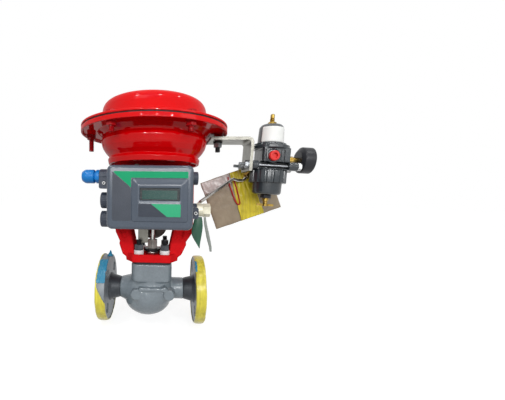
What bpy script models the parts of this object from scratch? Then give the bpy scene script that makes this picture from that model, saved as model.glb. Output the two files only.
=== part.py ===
"""Pneumatic control valve with a digital positioner and an air set, modelled in Blender.

Frame: +Z up along the stem, +X along the flow towards the outlet, -Y is the front.
The origin is where the flow axis crosses the stem axis. All lengths are metres.
"""

import math

import bmesh
import bpy
import numpy as np
from mathutils import Matrix, Vector

# Clearance between pieces that touch, and facets round a circle
GAP = 0.0003
ROUND = 28
MIDDLE_ROUND = 20
SMALL_ROUND = 12
BOLT_ROUND = 8

# Pipe line
FACE_TO_FACE = 0.197
FLANGE_D = 0.124
FLANGE_T = 0.0159
RAISED_D = 0.0508
RAISED_T = 0.0016
BORE_D = 0.025
BOLT_CIRCLE_D = 0.0889
BOLT_HOLE_D = 0.019
BOLT_HOLES = 4
NECK_D = 0.040
HUB_D = 0.047
WELD_X = 0.060

# Body casting
BODY_TOP = 0.054
BELLY_R = 0.042
BELLY_X = -0.008
BELLY_DROP = 0.0095
BELLY_INLET_RUN = 0.057
BELLY_OUTLET_RUN = 0.044
BARREL_D = 0.078
NECK_BLOCK_W = 0.075
NECK_BLOCK_Z = 0.020
NECK_BLOCK_CORNER = 0.013
CAST_EDGE = 0.004
CAST_BOSS_D = 0.020
CAST_BOSS_X = 0.030
CAST_BOSS_Y = -0.0405
CHAMBER_D = 0.044
CHAMBER_FLOOR = 0.002
OUTLET_RISE = 0.015
INLET_DIP = 0.026
PORT_D = 0.029

# Trim and bonnet
SEAT_D = 0.036
SEAT_T = 0.0095
SEAT_BORE_D = 0.022
SEAT_CHAMFER = 0.0015
PLUG_D = 0.025
STEM_D = 0.010
STEM_TOP = 0.134
RUNNING_GAP = 0.0003
BONNET_T = 0.0038
BONNET_W = 0.072
BONNET_NOSE = 0.010
BONNET_BOSS_D = 0.030
BONNET_BOSS_TOP = 0.0726
PACKING_D = 0.017
PACKING_FLOOR = 0.048
PACKING_RING_T = 0.004
PACKING_RINGS = 4
FOLLOWER_FLANGE_D = 0.033
FOLLOWER_FLANGE_T = 0.0034
FOLLOWER_Z = 0.0744
PACKING_NUT_AF = 0.018
PACKING_NUT_H = 0.0165
STUD_D = 0.0095
STUD_X = 0.024
STUD_Y = 0.025
STUD_DEPTH = 0.017
STUD_STICKOUT = 0.0085
STUD_NUT_AF = 0.0145
STUD_NUT_H = 0.0105
STUD_WASHER_D = 0.018
STUD_WASHER_H = 0.0095

# Yoke
YOKE_BASE_T = 0.0105
YOKE_RIM_H = 0.004
YOKE_RIM_W = 0.0055
YOKE_BASE_X = 0.048
YOKE_BASE_Y = 0.042
YOKE_BASE_FLAT = 0.034
YOKE_HEIGHT = 0.1852
YOKE_SPREAD = 0.0755
YOKE_WAIST = 0.064
YOKE_WINDOW = 0.042
YOKE_WINDOW_FOOT = 0.029
YOKE_DEPTH = 0.054
YOKE_KNEE_H = 0.0215
YOKE_HIP_H = 0.043
YOKE_SHOULDER_H = 0.013
YOKE_SHOULDER_DROP = 0.015
YOKE_SHOULDER_W = 0.0085
YOKE_PLATE_MARGIN = 0.014
YOKE_PLATE_T = 0.007
YOKE_BOSS_D = 0.054
YOKE_BOSS_H = 0.0147
YOKE_EDGE = 0.002

# Actuator
CASING_D = 0.270
CASING_WALL = 0.0034
CASING_FLANGE_W = 0.0365
LOWER_DEPTH = 0.0544
SKIRT_STEP = 0.0145
SKIRT_DROP = 0.007
LIP_DROP = 0.0074
DOME_STEP = 0.0005
DOME_H = 0.0474
DOME_CORNER = 0.020
DOME_CROWN = 0.002
DIAPHRAGM_T = 0.0016
DIAPHRAGM_REST = 0.0225
DIAPHRAGM_ROLL_GAP = 0.006
PLATE_MARGIN = 0.019
PLATE_T = 0.005
ACTUATOR_STEM_D = 0.012
STEM_COLLAR_D = 0.036
STEM_COLLAR_T = 0.006
STEM_NUT_AF = 0.020
STEM_NUT_H = 0.008
BUSHING_D = 0.018
SPRING_COUNT = 4
SPRING_SHARE = 0.192
SPRING_CIRCLE_SHARE = 0.2945
SPRING_WIRE_D = 0.0044
SPRING_TURNS = 4
SPRING_SHEET = 0.0015
CASING_BOLTS = 6
CASING_BOLT_INSET = 0.014
CASING_BOLT_D = 0.0078
CASING_NUT_AF = 0.0145
CASING_NUT_H = 0.008
CASING_HEAD_H = 0.0052
SHORT_BOLT_END = 0.0215
LONG_BOLT_END = 0.0350

# Stem connector and travel feedback
CONNECTOR_D = 0.022
CONNECTOR_Z = 0.116
CONNECTOR_H = 0.040
FEEDBACK_T = 0.003
FEEDBACK_W = 0.020
FEEDBACK_TOP = 0.188
FEEDBACK_FOOT_X = -0.027
FEEDBACK_FOOT_Z = 0.090
FEEDBACK_FOOT_H = 0.030
ROUND_PLATE_D = 0.056
ROUND_PLATE_Z = 0.122
MAGNET_W = 0.010
MAGNET_T = 0.009
MAGNET_L = 0.060

# Positioner
POSITIONER_X = 0.0012
POSITIONER_Z = 0.177
POSITIONER_W = 0.1224
POSITIONER_H = 0.094
POSITIONER_FRONT = -0.130
COVER_D = 0.018
HOUSING_BACK = -0.0503
COVER_WALL = 0.0035
HOUSING_WALL = 0.004
COVER_EDGE = 0.005
BOX_CORNER = 0.007
PLATEAU_LEFT_MARGIN = 0.03465
PLATEAU_RIGHT_MARGIN = 0.00625
PLATEAU_TOP_MARGIN = 0.0191
PLATEAU_FOOT_MARGIN = 0.0119
PLATEAU_BEVEL = 0.009
PLATEAU_RISE = 0.003
WINDOW_MARGIN = 0.01225
WINDOW_H = 0.0175
WINDOW_DX = 0.0001
WINDOW_DZ = 0.0084
WINDOW_T = 0.0012
WINDOW_LEDGE = 0.0015
NAMEPLATE_MARGIN = 0.01015
NAMEPLATE_H = 0.0192
NAMEPLATE_DZ = -0.0146
LABEL_T = 0.0006
LABEL_MARGIN = 0.0065
LABEL_STRIPE_H = 0.0092
LABEL_PANEL_GAP = -0.00035
LABEL_FOOT = 0.0125
BOARD_T = 0.0016
BOARD_STANDOFF = 0.050
BOARD_SIDE_MARGIN = 0.010
BOARD_TOP_MARGIN = 0.0085
MODULE_SIDE_MARGIN = 0.0272
MODULE_TOP_MARGIN = 0.019
TERMINAL_INSET = 0.0112
TERMINAL_L = 0.048
MODULE_D = 0.036
BOSS_REACH = 0.028
BOSS_Y = -0.060
GLAND_Z = 0.211
GLAND_BOSS_D = 0.0256
GLAND_D = 0.0236
GLAND_L = 0.0350
GLAND_BORE_D = 0.010
PLUG_REACH = 0.0252
SIDE_PLUG_D = 0.0272
SIDE_PLUG_Y = -0.071
SIDE_PLUG_ZS = (0.1708, 0.1396)
VENT_Z = 0.2096
VENT_D = 0.022
VENT_L = 0.017
EAR_Y = -0.081
EAR_T = 0.014
EAR_SCREW_D = 0.0068
LEFT_EAR_Z = 0.199
LEFT_EAR_REACH = 0.024
RIGHT_EAR_Z = 0.1526
RIGHT_EAR_REACH = 0.0146
BRACKET_T = 0.005
BRACKET_OVERLAP = 0.0068
BRACKET_TOP_MARGIN = 0.008
BRACKET_SIDE_BAR = 0.042
BRACKET_TOP_BAR = 0.012
BRACKET_FLANGE_T = 0.004
BRACKET_SCREW_INSET = 0.010
BRACKET_SCREW_MARGIN = 0.009
BRACKET_SCREW_D = 0.006
BRACKET_TAB_X = -0.029
BRACKET_TAB_W = 0.008
SUPPLY_Y = -0.055
SUPPLY_Z = 0.156
SUPPLY_BOSS_D = 0.023
SUPPLY_BOSS_L = 0.014
BANJO_L = 0.0115
BANJO_HEAD_AF = 0.020
BANJO_HEAD_L = 0.0115

# Air set, in its own leaning frame
AIR_SET_REACH = 0.082
AIR_SET_DROP = 0.0483
AIR_SET_LEAN = math.radians(3.0)
LEG_X = -0.0370
LEG_T = 0.0055
BRACKET_BAR_W = 0.050
LEG_FOOT = -0.025
ARM_DROP = 0.0072
ARM_BEND_R = 0.010
ARM_END = 0.017
BODY_LEFT = -0.020
BODY_RIGHT = 0.0285
BODY_DEPTH = 0.054
REG_BODY_BOTTOM = -0.0210
REG_BODY_TOP = 0.0180
RIM_D = 0.064
RIM_T = 0.0065
RIM_X = 0.002
LUG_D = 0.0156
LUG_Z = -0.0130
LUG_Y = 0.0190
RIGHT_LUG_X = 0.0440
THROUGH_BOLT_D = 0.006
THROUGH_BOLT_LEFT = -0.0600
THROUGH_NUT_AF = 0.012
THROUGH_NUT_H = 0.0058
GROOVE_H = 0.0125
GROOVE_Y = 0.0145
BONNET_COLLAR_D = 0.056
BONNET_COLLAR_H = 0.0060
RIB_COUNT = 20
REG_BONNET_D = 0.0452
REG_BONNET_TOP_D = 0.0428
REG_BONNET_H = 0.0395
REG_WALL = 0.0028
RING_D = 0.0652
RING_H = 0.0225
RING_TEETH = 18
BOWL_CUP_D = 0.0518
BOWL_CUP_H = 0.0215
BOWL_CUP_WALL = 0.0025
BOWL_CUP_ROUND = 0.005
ADJUST_D = 0.0082
ADJUST_STICKOUT = 0.0200
ADJUST_DEPTH = 0.0150
LOCKNUT_AF = 0.0135
LOCKNUT_H = 0.0045
RANGE_SPRING_D = 0.024
RANGE_SPRING_WIRE_D = 0.0030
RANGE_SPRING_TURNS = 4
RED_PLUG_X = -0.0030
RED_PLUG_Z = 0.0030
RED_PLUG_D = 0.0180
RED_PLUG_L = 0.0070
PLUG_SEAT_D = 0.0240
PLUG_SEAT_T = 0.0015
GAUGE_Y = 0.010
GAUGE_Z = 0.004
GAUGE_STEM_D = 0.0094
GAUGE_X = 0.0570
GAUGE_D = 0.0490
GAUGE_L = 0.0235
GAUGE_BACK_D = 0.038
GAUGE_BEZEL = 0.003
DIAL_DEPTH = 0.006
POINTER_L = 0.017
DRAIN_COLLAR_D = 0.0190
DRAIN_COLLAR_H = 0.0066
DRAIN_D = 0.0110
DRAIN_L = 0.0150
WING_REACH = 0.0155
ELBOW_X = -0.012
ELBOW_Z = -0.009
ELBOW_OUT = 0.0115
ELBOW_D = 0.0120
ELBOW_NUT_AF = 0.0140
TUBE_D = 0.006

# Loose pieces
BAG_SHIFT = (-0.037, 0.0488, -0.067)
BAG_L = 0.142
BAG_H = 0.104
BAG_T = 0.006
BAG_TILT = math.radians(20.5)
TAG_T = 0.0012
TAG_DROP = 0.0004
GREEN_TAG_L = 0.0546
GREEN_TAG_W = 0.0195
STRAP_L = 0.0596
STRAP_REACH = 0.0155
STRAP_W = 0.0040

# Values that follow from the sizes above
BOWL_D = CASING_D - 2 * CASING_FLANGE_W
SKIRT_D = BOWL_D - 2 * SKIRT_STEP
DOME_D = BOWL_D - 2 * DOME_STEP
DIAPHRAGM_ROLL_D = DOME_D - 2 * DIAPHRAGM_ROLL_GAP
PLATE_D = DIAPHRAGM_ROLL_D - 2 * PLATE_MARGIN
SPRING_D = SPRING_SHARE * PLATE_D
SPRING_CIRCLE_R = SPRING_CIRCLE_SHARE * PLATE_D
CASING_BOLT_CIRCLE_R = CASING_D / 2 - CASING_BOLT_INSET
YOKE_PLATE_D = SKIRT_D - 2 * YOKE_PLATE_MARGIN
FACE_X = FACE_TO_FACE / 2
DISC_FRONT = FACE_X - RAISED_T
DISC_BACK = DISC_FRONT - FLANGE_T
BONNET_Z = BODY_TOP + GAP
YOKE_BASE_Z = BONNET_Z + BONNET_T + GAP
YOKE_FLOOR_Z = YOKE_BASE_Z + YOKE_BASE_T
YOKE_TOP = YOKE_BASE_Z + YOKE_HEIGHT
YOKE_PLATE_Z = YOKE_TOP - YOKE_PLATE_T
CASING_FLOOR = YOKE_TOP + GAP
JOINT_Z = CASING_FLOOR + LOWER_DEPTH
UPPER_Z = JOINT_Z + DIAPHRAGM_T + 2 * GAP
STEM_COLLAR_TOP = JOINT_Z - DIAPHRAGM_REST - GAP
DIAPHRAGM_LOW = STEM_COLLAR_TOP + GAP
DIAPHRAGM_PLATE_Z = DIAPHRAGM_LOW + DIAPHRAGM_T + GAP
PLATE_TOP = DIAPHRAGM_PLATE_Z + PLATE_T
DOME_INSIDE = UPPER_Z + DOME_H - CASING_WALL
COVER_BACK = POSITIONER_FRONT + COVER_D
HOUSING_FRONT = COVER_BACK + GAP
POSITIONER_LEFT = POSITIONER_X - POSITIONER_W / 2
POSITIONER_RIGHT = POSITIONER_X + POSITIONER_W / 2
PLATEAU_W = POSITIONER_W - PLATEAU_LEFT_MARGIN - PLATEAU_RIGHT_MARGIN
PLATEAU_H = POSITIONER_H - PLATEAU_TOP_MARGIN - PLATEAU_FOOT_MARGIN
PLATEAU_X = (PLATEAU_LEFT_MARGIN - PLATEAU_RIGHT_MARGIN) / 2
PLATEAU_DZ = (PLATEAU_FOOT_MARGIN - PLATEAU_TOP_MARGIN) / 2
WINDOW_W = PLATEAU_W - 2 * WINDOW_MARGIN
NAMEPLATE_W = PLATEAU_W - 2 * NAMEPLATE_MARGIN
LABEL_PANEL_W = PLATEAU_LEFT_MARGIN - LABEL_MARGIN - LABEL_PANEL_GAP
MODULE_W = POSITIONER_W - 2 * MODULE_SIDE_MARGIN
MODULE_H = POSITIONER_H - 2 * MODULE_TOP_MARGIN
BRACKET_W = POSITIONER_W + 2 * BRACKET_OVERLAP
BRACKET_H = POSITIONER_H - 2 * BRACKET_TOP_MARGIN
BRACKET_WINDOW_W = BRACKET_W - 2 * BRACKET_SIDE_BAR
BRACKET_WINDOW_H = BRACKET_H - 2 * BRACKET_TOP_BAR
BRACKET_SCREW_X = YOKE_WINDOW + BRACKET_SCREW_INSET
BRACKET_SCREW_DZ = BRACKET_H / 2 - BRACKET_SCREW_MARGIN
YOKE_FRONT = -YOKE_DEPTH / 2
BRACKET_BACK = YOKE_FRONT - GAP
BRACKET_FRONT = BRACKET_BACK - BRACKET_T
ARM_TOP = JOINT_Z - CASING_WALL - ARM_DROP
AIR_SET_AT = (CASING_D / 2 + AIR_SET_REACH, 0.0, JOINT_Z - AIR_SET_DROP)
BAG_AT = tuple(a + b for a, b in zip(AIR_SET_AT, BAG_SHIFT))
TAG_Z = SUPPLY_Z - SUPPLY_BOSS_D / 2 - TAG_DROP
REG_RIM_TOP = REG_BODY_TOP + RIM_T
REG_BONNET_Z = REG_RIM_TOP + GAP
REG_BONNET_TOP = REG_BONNET_Z + REG_BONNET_H
RING_TOP = REG_BODY_BOTTOM - GAP
RING_BOTTOM = RING_TOP - RING_H
CUP_BOTTOM = RING_BOTTOM - BOWL_CUP_H
COLLAR_TOP = CUP_BOTTOM - GAP
DRAIN_TOP = COLLAR_TOP - DRAIN_COLLAR_H - GAP

FINISHES = {
    "grey_paint": ("7D868B", 0.42, 0.0),
    "bare_flange": ("5C6064", 0.45, 0.2),
    "red_paint": ("D0151B", 0.28, 0.0),
    "black_steel": ("24252A", 0.45, 0.3),
    "stainless": ("B9B8B4", 0.28, 1.0),
    "zinc": ("8E9193", 0.38, 1.0),
    "brown_steel": ("4A403B", 0.55, 0.5),
    "brass": ("B58A2A", 0.32, 1.0),
    "rubber": ("1C1C1E", 0.70, 0.0),
    "graphite": ("2E2F31", 0.60, 0.0),
    "spring_steel": ("6D7072", 0.35, 1.0),
    "positioner_paint": ("575E6C", 0.40, 0.0),
    "clear_plastic": ("C9D6D2", 0.10, 0.0),
    "circuit_green": ("1F5B3A", 0.50, 0.0),
    "blue_plastic": ("2B8FDC", 0.35, 0.0),
    "black_plastic": ("2B2B30", 0.45, 0.0),
    "red_plastic": ("E8302A", 0.40, 0.0),
    "air_set_paint": ("3C4347", 0.38, 0.1),
    "kraft_paper": ("9B8A75", 0.70, 0.0),
    "green_film": ("24553F", 0.55, 0.0),
    "white_film": ("D7DAD6", 0.45, 0.0),
}


def clear_scene():
    for obj in list(bpy.data.objects):
        bpy.data.objects.remove(obj, do_unlink=True)


def new_collection(name):
    collection = bpy.data.collections.new(name)
    bpy.context.scene.collection.children.link(collection)
    return collection


clear_scene()
PARTS = new_collection("control_valve")


def linear(channel):
    value = int(channel, 16) / 255
    return value / 12.92 if value <= 0.04045 else ((value + 0.055) / 1.055) ** 2.4


def finish(name):
    """Return the named Principled material, made on first use."""
    if name in bpy.data.materials:
        return bpy.data.materials[name]
    code, rough, metal = FINISHES[name]
    material = bpy.data.materials.new(name)
    material.use_nodes = True
    shader = material.node_tree.nodes["Principled BSDF"]
    red, green, blue = (linear(code[i:i + 2]) for i in (0, 2, 4))
    shader.inputs["Base Color"].default_value = (red, green, blue, 1)
    shader.inputs["Roughness"].default_value = rough
    shader.inputs["Metallic"].default_value = metal
    material.diffuse_color = (red, green, blue, 1)
    return material


def link(name, mesh):
    obj = bpy.data.objects.new(name, mesh)
    PARTS.objects.link(obj)
    return obj


def from_bmesh(name, bm):
    mesh = bpy.data.meshes.new(name)
    bm.to_mesh(mesh)
    bm.free()
    return link(name, mesh)


def bake(obj):
    """Replace an object's data with its evaluated mesh, welded and facing out."""
    bpy.context.view_layer.update()
    depsgraph = bpy.context.evaluated_depsgraph_get()
    mesh = bpy.data.meshes.new_from_object(obj.evaluated_get(depsgraph))
    bm = bmesh.new()
    bm.from_mesh(mesh)
    bmesh.ops.remove_doubles(bm, verts=bm.verts, dist=2e-6)
    bmesh.ops.dissolve_degenerate(bm, edges=bm.edges, dist=1e-6)
    bmesh.ops.recalc_face_normals(bm, faces=bm.faces)
    bm.to_mesh(mesh)
    bm.free()
    if obj.type == "MESH":
        obj.modifiers.clear()
        obj.data = mesh
        return obj
    baked = link(obj.name + "_mesh", mesh)
    baked.matrix_world = obj.matrix_world
    name = obj.name
    bpy.data.objects.remove(obj, do_unlink=True)
    baked.name = name
    return baked


def combine(target, tools, operation):
    """Apply one Boolean for each tool and remove the tools."""
    for tool in tools:
        boolean = target.modifiers.new(operation.lower(), "BOOLEAN")
        boolean.operation = operation
        boolean.object = tool
        bake(target)
        bpy.data.objects.remove(tool, do_unlink=True)
    return target


def union(target, *tools):
    return combine(target, tools, "UNION")


def cut(target, *tools):
    return combine(target, tools, "DIFFERENCE")


def fused(name, first, *others):
    """Union of overlapping solids under one name."""
    union(first, *others)
    first.name = name
    return first


def aim(direction):
    """Rotation that turns +Z to the given direction."""
    return Vector(direction).to_track_quat("Z", "Y").to_matrix().to_4x4()


def box(name, low, high, corner=0.0, axis=2, edge=0.0):
    """Box between two corners; `corner` rounds the edges along `axis`, `edge` all the others."""
    low, high = Vector(low), Vector(high)
    bm = bmesh.new()
    bmesh.ops.create_cube(bm, size=1.0)
    size = high - low
    bmesh.ops.scale(bm, vec=size, verts=bm.verts)
    bmesh.ops.translate(bm, vec=(low + high) / 2, verts=bm.verts)
    if corner:
        along = [e for e in bm.edges if abs((e.verts[0].co - e.verts[1].co)[axis]) > size[axis] / 2]
        bmesh.ops.bevel(bm, geom=along, offset=corner, segments=4, profile=0.5, affect="EDGES")
    if edge:
        sharp = [e for e in bm.edges if e.calc_face_angle(0) > math.radians(60)]
        bmesh.ops.bevel(bm, geom=sharp, offset=edge, segments=2, profile=0.5, affect="EDGES")
    return from_bmesh(name, bm)


def rod(name, diameter, start, end, sides=SMALL_ROUND, chamfer=0.0):
    """Cylinder between two points, with chamfered rims if asked."""
    start, end = Vector(start), Vector(end)
    length = (end - start).length
    bm = bmesh.new()
    bmesh.ops.create_cone(bm, cap_ends=True, segments=sides, radius1=diameter / 2,
                          radius2=diameter / 2, depth=length)
    if chamfer:
        rims = [e for e in bm.edges if abs(e.verts[0].co.z - e.verts[1].co.z) < 1e-6]
        bmesh.ops.bevel(bm, geom=rims, offset=chamfer, segments=1, affect="EDGES")
    bmesh.ops.transform(bm, matrix=Matrix.Translation((start + end) / 2) @ aim(end - start), verts=bm.verts)
    return from_bmesh(name, bm)


def hexagon(name, across_flats, start, end, bore=0.0):
    """Hexagonal prism, with a round hole through it if `bore` is given."""
    prism = rod(name, across_flats * 2 / math.sqrt(3), start, end, sides=6)
    if bore:
        start, end = Vector(start), Vector(end)
        past = (end - start).normalized() * 0.002
        prism = cut(prism, rod("drill", bore, start - past, end + past))
    return prism


def lathe(name, profile, at=(0, 0, 0), direction=(0, 0, 1), steps=ROUND, closed=False):
    """Turn (radius, height) pairs about `direction`; the outer side runs from the top down."""
    mesh = bpy.data.meshes.new(name)
    count = len(profile)
    edges = [(i, i + 1) for i in range(count - 1)]
    if closed:
        edges.append((count - 1, 0))
    mesh.from_pydata([(r, 0, z) for r, z in profile], edges, [])
    obj = link(name, mesh)
    screw = obj.modifiers.new("turn", "SCREW")
    screw.steps = steps
    screw.render_steps = steps
    screw.use_merge_vertices = True
    screw.merge_threshold = 1e-5
    bake(obj)
    obj.data.transform(Matrix.Translation(at) @ aim(direction))
    return obj


def ring(name, outer_d, inner_d, low, high, at=(0, 0, 0), direction=(0, 0, 1), steps=ROUND):
    """Flat ring of rectangular section."""
    outer, inner = outer_d / 2, inner_d / 2
    profile = [(inner, high), (outer, high), (outer, low), (inner, low)]
    return lathe(name, profile, at, direction, steps, closed=True)


def arc(centre, radius, first, last, count):
    """Points on an arc; angles in degrees from the first axis to the second."""
    angles = np.radians(np.linspace(first, last, count))
    return [(centre[0] + radius * math.cos(a), centre[1] + radius * math.sin(a)) for a in angles]


def rounded(points, radii, count=4):
    """Closed outline with each corner replaced by a tangent arc of its radius."""
    outline = []
    total = len(points)
    for i, (corner, radius) in enumerate(zip(points, radii)):
        here = Vector(corner)
        if radius <= 0:
            outline.append(tuple(here))
            continue
        before = (Vector(points[i - 1]) - here).normalized()
        after = (Vector(points[(i + 1) % total]) - here).normalized()
        half = before.angle(after) / 2
        centre = here + (before + after).normalized() * radius / math.sin(half)
        first, last = here + before * radius / math.tan(half), here + after * radius / math.tan(half)
        a0 = math.atan2(first.y - centre.y, first.x - centre.x)
        a1 = math.atan2(last.y - centre.y, last.x - centre.x)
        turn = (a1 - a0 + math.pi) % (2 * math.pi) - math.pi
        for k in range(count + 1):
            a = a0 + turn * k / count
            outline.append((centre.x + radius * math.cos(a), centre.y + radius * math.sin(a)))
    return outline


def slab(name, outlines, thickness, plane="XZ", level=0.0):
    """Flat outlines, holes after the outer one, extruded evenly about `level`."""
    curve = bpy.data.curves.new(name, "CURVE")
    curve.dimensions = "2D"
    curve.fill_mode = "BOTH"
    curve.extrude = thickness / 2
    for outline in outlines:
        spline = curve.splines.new("POLY")
        spline.points.add(len(outline) - 1)
        for point, (u, v) in zip(spline.points, outline):
            point.co = (u, v, 0, 1)
        spline.use_cyclic_u = True
    obj = bpy.data.objects.new(name, curve)
    PARTS.objects.link(obj)
    if plane == "XZ":
        obj.matrix_world = Matrix.Translation((0, level, 0)) @ Matrix.Rotation(math.pi / 2, 4, "X")
    else:
        obj.matrix_world = Matrix.Translation((0, 0, level))
    solid = bake(obj)
    solid.data.transform(solid.matrix_world)
    solid.matrix_world = Matrix.Identity(4)
    return solid


def swept(name, points, radii, resolution):
    """Round tube through points with a radius at each, as a closed mesh."""
    curve = bpy.data.curves.new(name, "CURVE")
    curve.dimensions = "3D"
    curve.bevel_depth = 1.0
    curve.bevel_resolution = resolution
    curve.use_fill_caps = True
    spline = curve.splines.new("POLY")
    spline.points.add(len(points) - 1)
    for target, point, radius in zip(spline.points, points, radii):
        target.co = (*point, 1)
        target.radius = radius
    obj = bpy.data.objects.new(name, curve)
    PARTS.objects.link(obj)
    return bake(obj)


def smooth_path(points, spacing):
    """Points at even spacing on a Catmull-Rom curve through the given ones."""
    points = [Vector(p) for p in points]
    padded = [2 * points[0] - points[1], *points, 2 * points[-1] - points[-2]]
    fine = []
    for a, b, c, d in zip(padded, padded[1:], padded[2:], padded[3:]):
        for t in np.linspace(0, 1, 24, endpoint=False):
            fine.append(0.5 * (2 * b + (c - a) * t + (2 * a - 5 * b + 4 * c - d) * t ** 2
                               + (3 * b - a - 3 * c + d) * t ** 3))
    fine.append(points[-1])
    lengths = np.concatenate([[0], np.cumsum([(q - p).length for p, q in zip(fine, fine[1:])])])
    count = max(3, round(lengths[-1] / spacing) + 1)
    marks = np.linspace(0, lengths[-1], count)
    coords = np.array([tuple(p) for p in fine])
    return [tuple(np.interp(m, lengths, coords[:, k]) for k in range(3)) for m in marks]


def done(obj, material, smooth_angle=35):
    """Give an object its finish and its smooth shading."""
    obj.data.materials.clear()
    obj.data.materials.append(finish(material))
    if obj.type == "MESH":
        obj.data.shade_smooth()
        obj.data.set_sharp_from_angle(angle=math.radians(smooth_angle))
    return obj


def spun(angle_deg, radius):
    angle = math.radians(angle_deg)
    return radius * math.cos(angle), radius * math.sin(angle)


def set_origin(obj, point):
    """Move an object's origin to a point and leave its shape where it is."""
    obj.data.transform(Matrix.Translation(-Vector(point)))
    obj.location = point


# Valve body and flanges

def belly_blend(x):
    """Share of the belly at x: round on the outlet side, a slow taper on the inlet side."""
    if x >= BELLY_X:
        u = min((x - BELLY_X) / BELLY_OUTLET_RUN, 1)
        return math.sqrt(1 - u * u), 1 - u
    u = min((BELLY_X - x) / BELLY_INLET_RUN, 1)
    share = math.cos(math.pi / 2 * u) ** 2
    return share, share


def inlet_path():
    """Centre line of the passage from the inlet weld to below the seat."""
    return [(-WELD_X - 0.004, 0, 0), (-0.75 * WELD_X, 0, -0.2 * INLET_DIP), (-0.5 * WELD_X, 0, -0.58 * INLET_DIP),
            (-0.25 * WELD_X, 0, -0.9 * INLET_DIP), (0, 0, -INLET_DIP), (0.1 * WELD_X, 0, -INLET_DIP)]


def outlet_path():
    """Centre line of the passage from the chamber above the seat to the outlet weld."""
    return [(0, 0, OUTLET_RISE), (0.25 * WELD_X, 0, 0.9 * OUTLET_RISE), (0.5 * WELD_X, 0, 0.53 * OUTLET_RISE),
            (0.75 * WELD_X, 0, 0.13 * OUTLET_RISE), (WELD_X + 0.004, 0, 0)]


def passage(name, points):
    return swept(name, points, [BORE_D / 2] * len(points), 4)


def stud_places():
    return [(sx * STUD_X, sy * STUD_Y) for sx in (-1, 1) for sy in (-1, 1)]


def make_valve_body():
    inlet_end = BELLY_X - 0.74 * BELLY_INLET_RUN
    stations = [*np.linspace(inlet_end, BELLY_X, 7), *np.linspace(BELLY_X, BELLY_X + BELLY_OUTLET_RUN, 7)[1:]]
    points, radii = [(-WELD_X, 0, 0)], [NECK_D / 2]
    for x in stations:
        round_share, drop_share = belly_blend(x)
        points.append((x, 0, -BELLY_DROP * drop_share))
        radii.append(NECK_D / 2 + (BELLY_R - NECK_D / 2) * round_share)
    points.append((WELD_X, 0, 0))
    radii.append(NECK_D / 2)
    points.insert(1, (-WELD_X + 0.002, 0, 0))
    radii.insert(1, NECK_D / 2)
    body = swept("valve_body", points, radii, 6)
    barrel_r = BARREL_D / 2
    barrel = lathe("barrel", [(0, NECK_BLOCK_Z + 0.012), (0.9 * barrel_r, NECK_BLOCK_Z + 0.012),
                              (0.98 * barrel_r, 0.4 * NECK_BLOCK_Z), (barrel_r, -0.006),
                              (0.9 * barrel_r, -0.024), (0, -0.03)], steps=ROUND)
    half = NECK_BLOCK_W / 2
    block = box("neck_block", (-half, -half, NECK_BLOCK_Z), (half, half, BODY_TOP), NECK_BLOCK_CORNER, 2)
    bosses = [rod("boss", CAST_BOSS_D, (sx * CAST_BOSS_X, CAST_BOSS_Y, -0.0015), (sx * CAST_BOSS_X, 0, -0.0015),
                  chamfer=0.0008) for sx in (-1, 1)]
    union(body, barrel, block, *bosses)
    chamber = rod("chamber", CHAMBER_D, (0, 0, CHAMBER_FLOOR), (0, 0, BODY_TOP + 0.01), ROUND)
    recess = rod("seat_recess", SEAT_D + 2 * GAP, (0, 0, CHAMBER_FLOOR - SEAT_T), (0, 0, CHAMBER_FLOOR + 0.002), ROUND)
    port = rod("port", PORT_D, (0, 0, -INLET_DIP), (0, 0, CHAMBER_FLOOR - SEAT_T + 0.001), MIDDLE_ROUND)
    holes = [rod("stud_hole", STUD_D + 2 * GAP, (x, y, BODY_TOP - STUD_DEPTH - GAP), (x, y, BODY_TOP + 0.01), BOLT_ROUND)
             for x, y in stud_places()]
    cut(body, chamber, recess, port, passage("inlet", inlet_path()), passage("outlet", outlet_path()), *holes)
    return done(body, "grey_paint", 50)


def flange_profile():
    """Half section of a weld-neck flange, radius against distance from the stem axis."""
    bore, neck, hub = BORE_D / 2, NECK_D / 2, HUB_D / 2
    weld = WELD_X + GAP
    return [(bore, FACE_X), (RAISED_D / 2, FACE_X), (RAISED_D / 2, DISC_FRONT), (FLANGE_D / 2, DISC_FRONT),
            (FLANGE_D / 2, DISC_BACK), (hub + 0.003, DISC_BACK), (hub, DISC_BACK - 0.004), (neck, weld + 0.004),
            (neck - 0.001, weld), (bore, weld)]


def make_flange(name, side):
    flange = lathe(name, flange_profile(), direction=(side, 0, 0), closed=True)
    holes = []
    for i in range(BOLT_HOLES):
        y, z = spun(180 / BOLT_HOLES + 360 / BOLT_HOLES * i, BOLT_CIRCLE_D / 2)
        holes.append(rod("bolt_hole", BOLT_HOLE_D, (side * (DISC_BACK - 0.01), y, z), (side * (FACE_X + 0.01), y, z)))
    cut(flange, *holes)
    return done(flange, "bare_flange")


# Trim, bonnet and packing

def make_seat_ring():
    floor = CHAMBER_FLOOR - SEAT_T + GAP
    top = CHAMBER_FLOOR + 0.0015
    bore = SEAT_BORE_D / 2
    profile = [(bore + SEAT_CHAMFER, top), (SEAT_D / 2, top), (SEAT_D / 2, floor), (bore, floor),
               (bore, top - SEAT_CHAMFER)]
    return done(lathe("seat_ring", profile, steps=ROUND, closed=True), "stainless")


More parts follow.
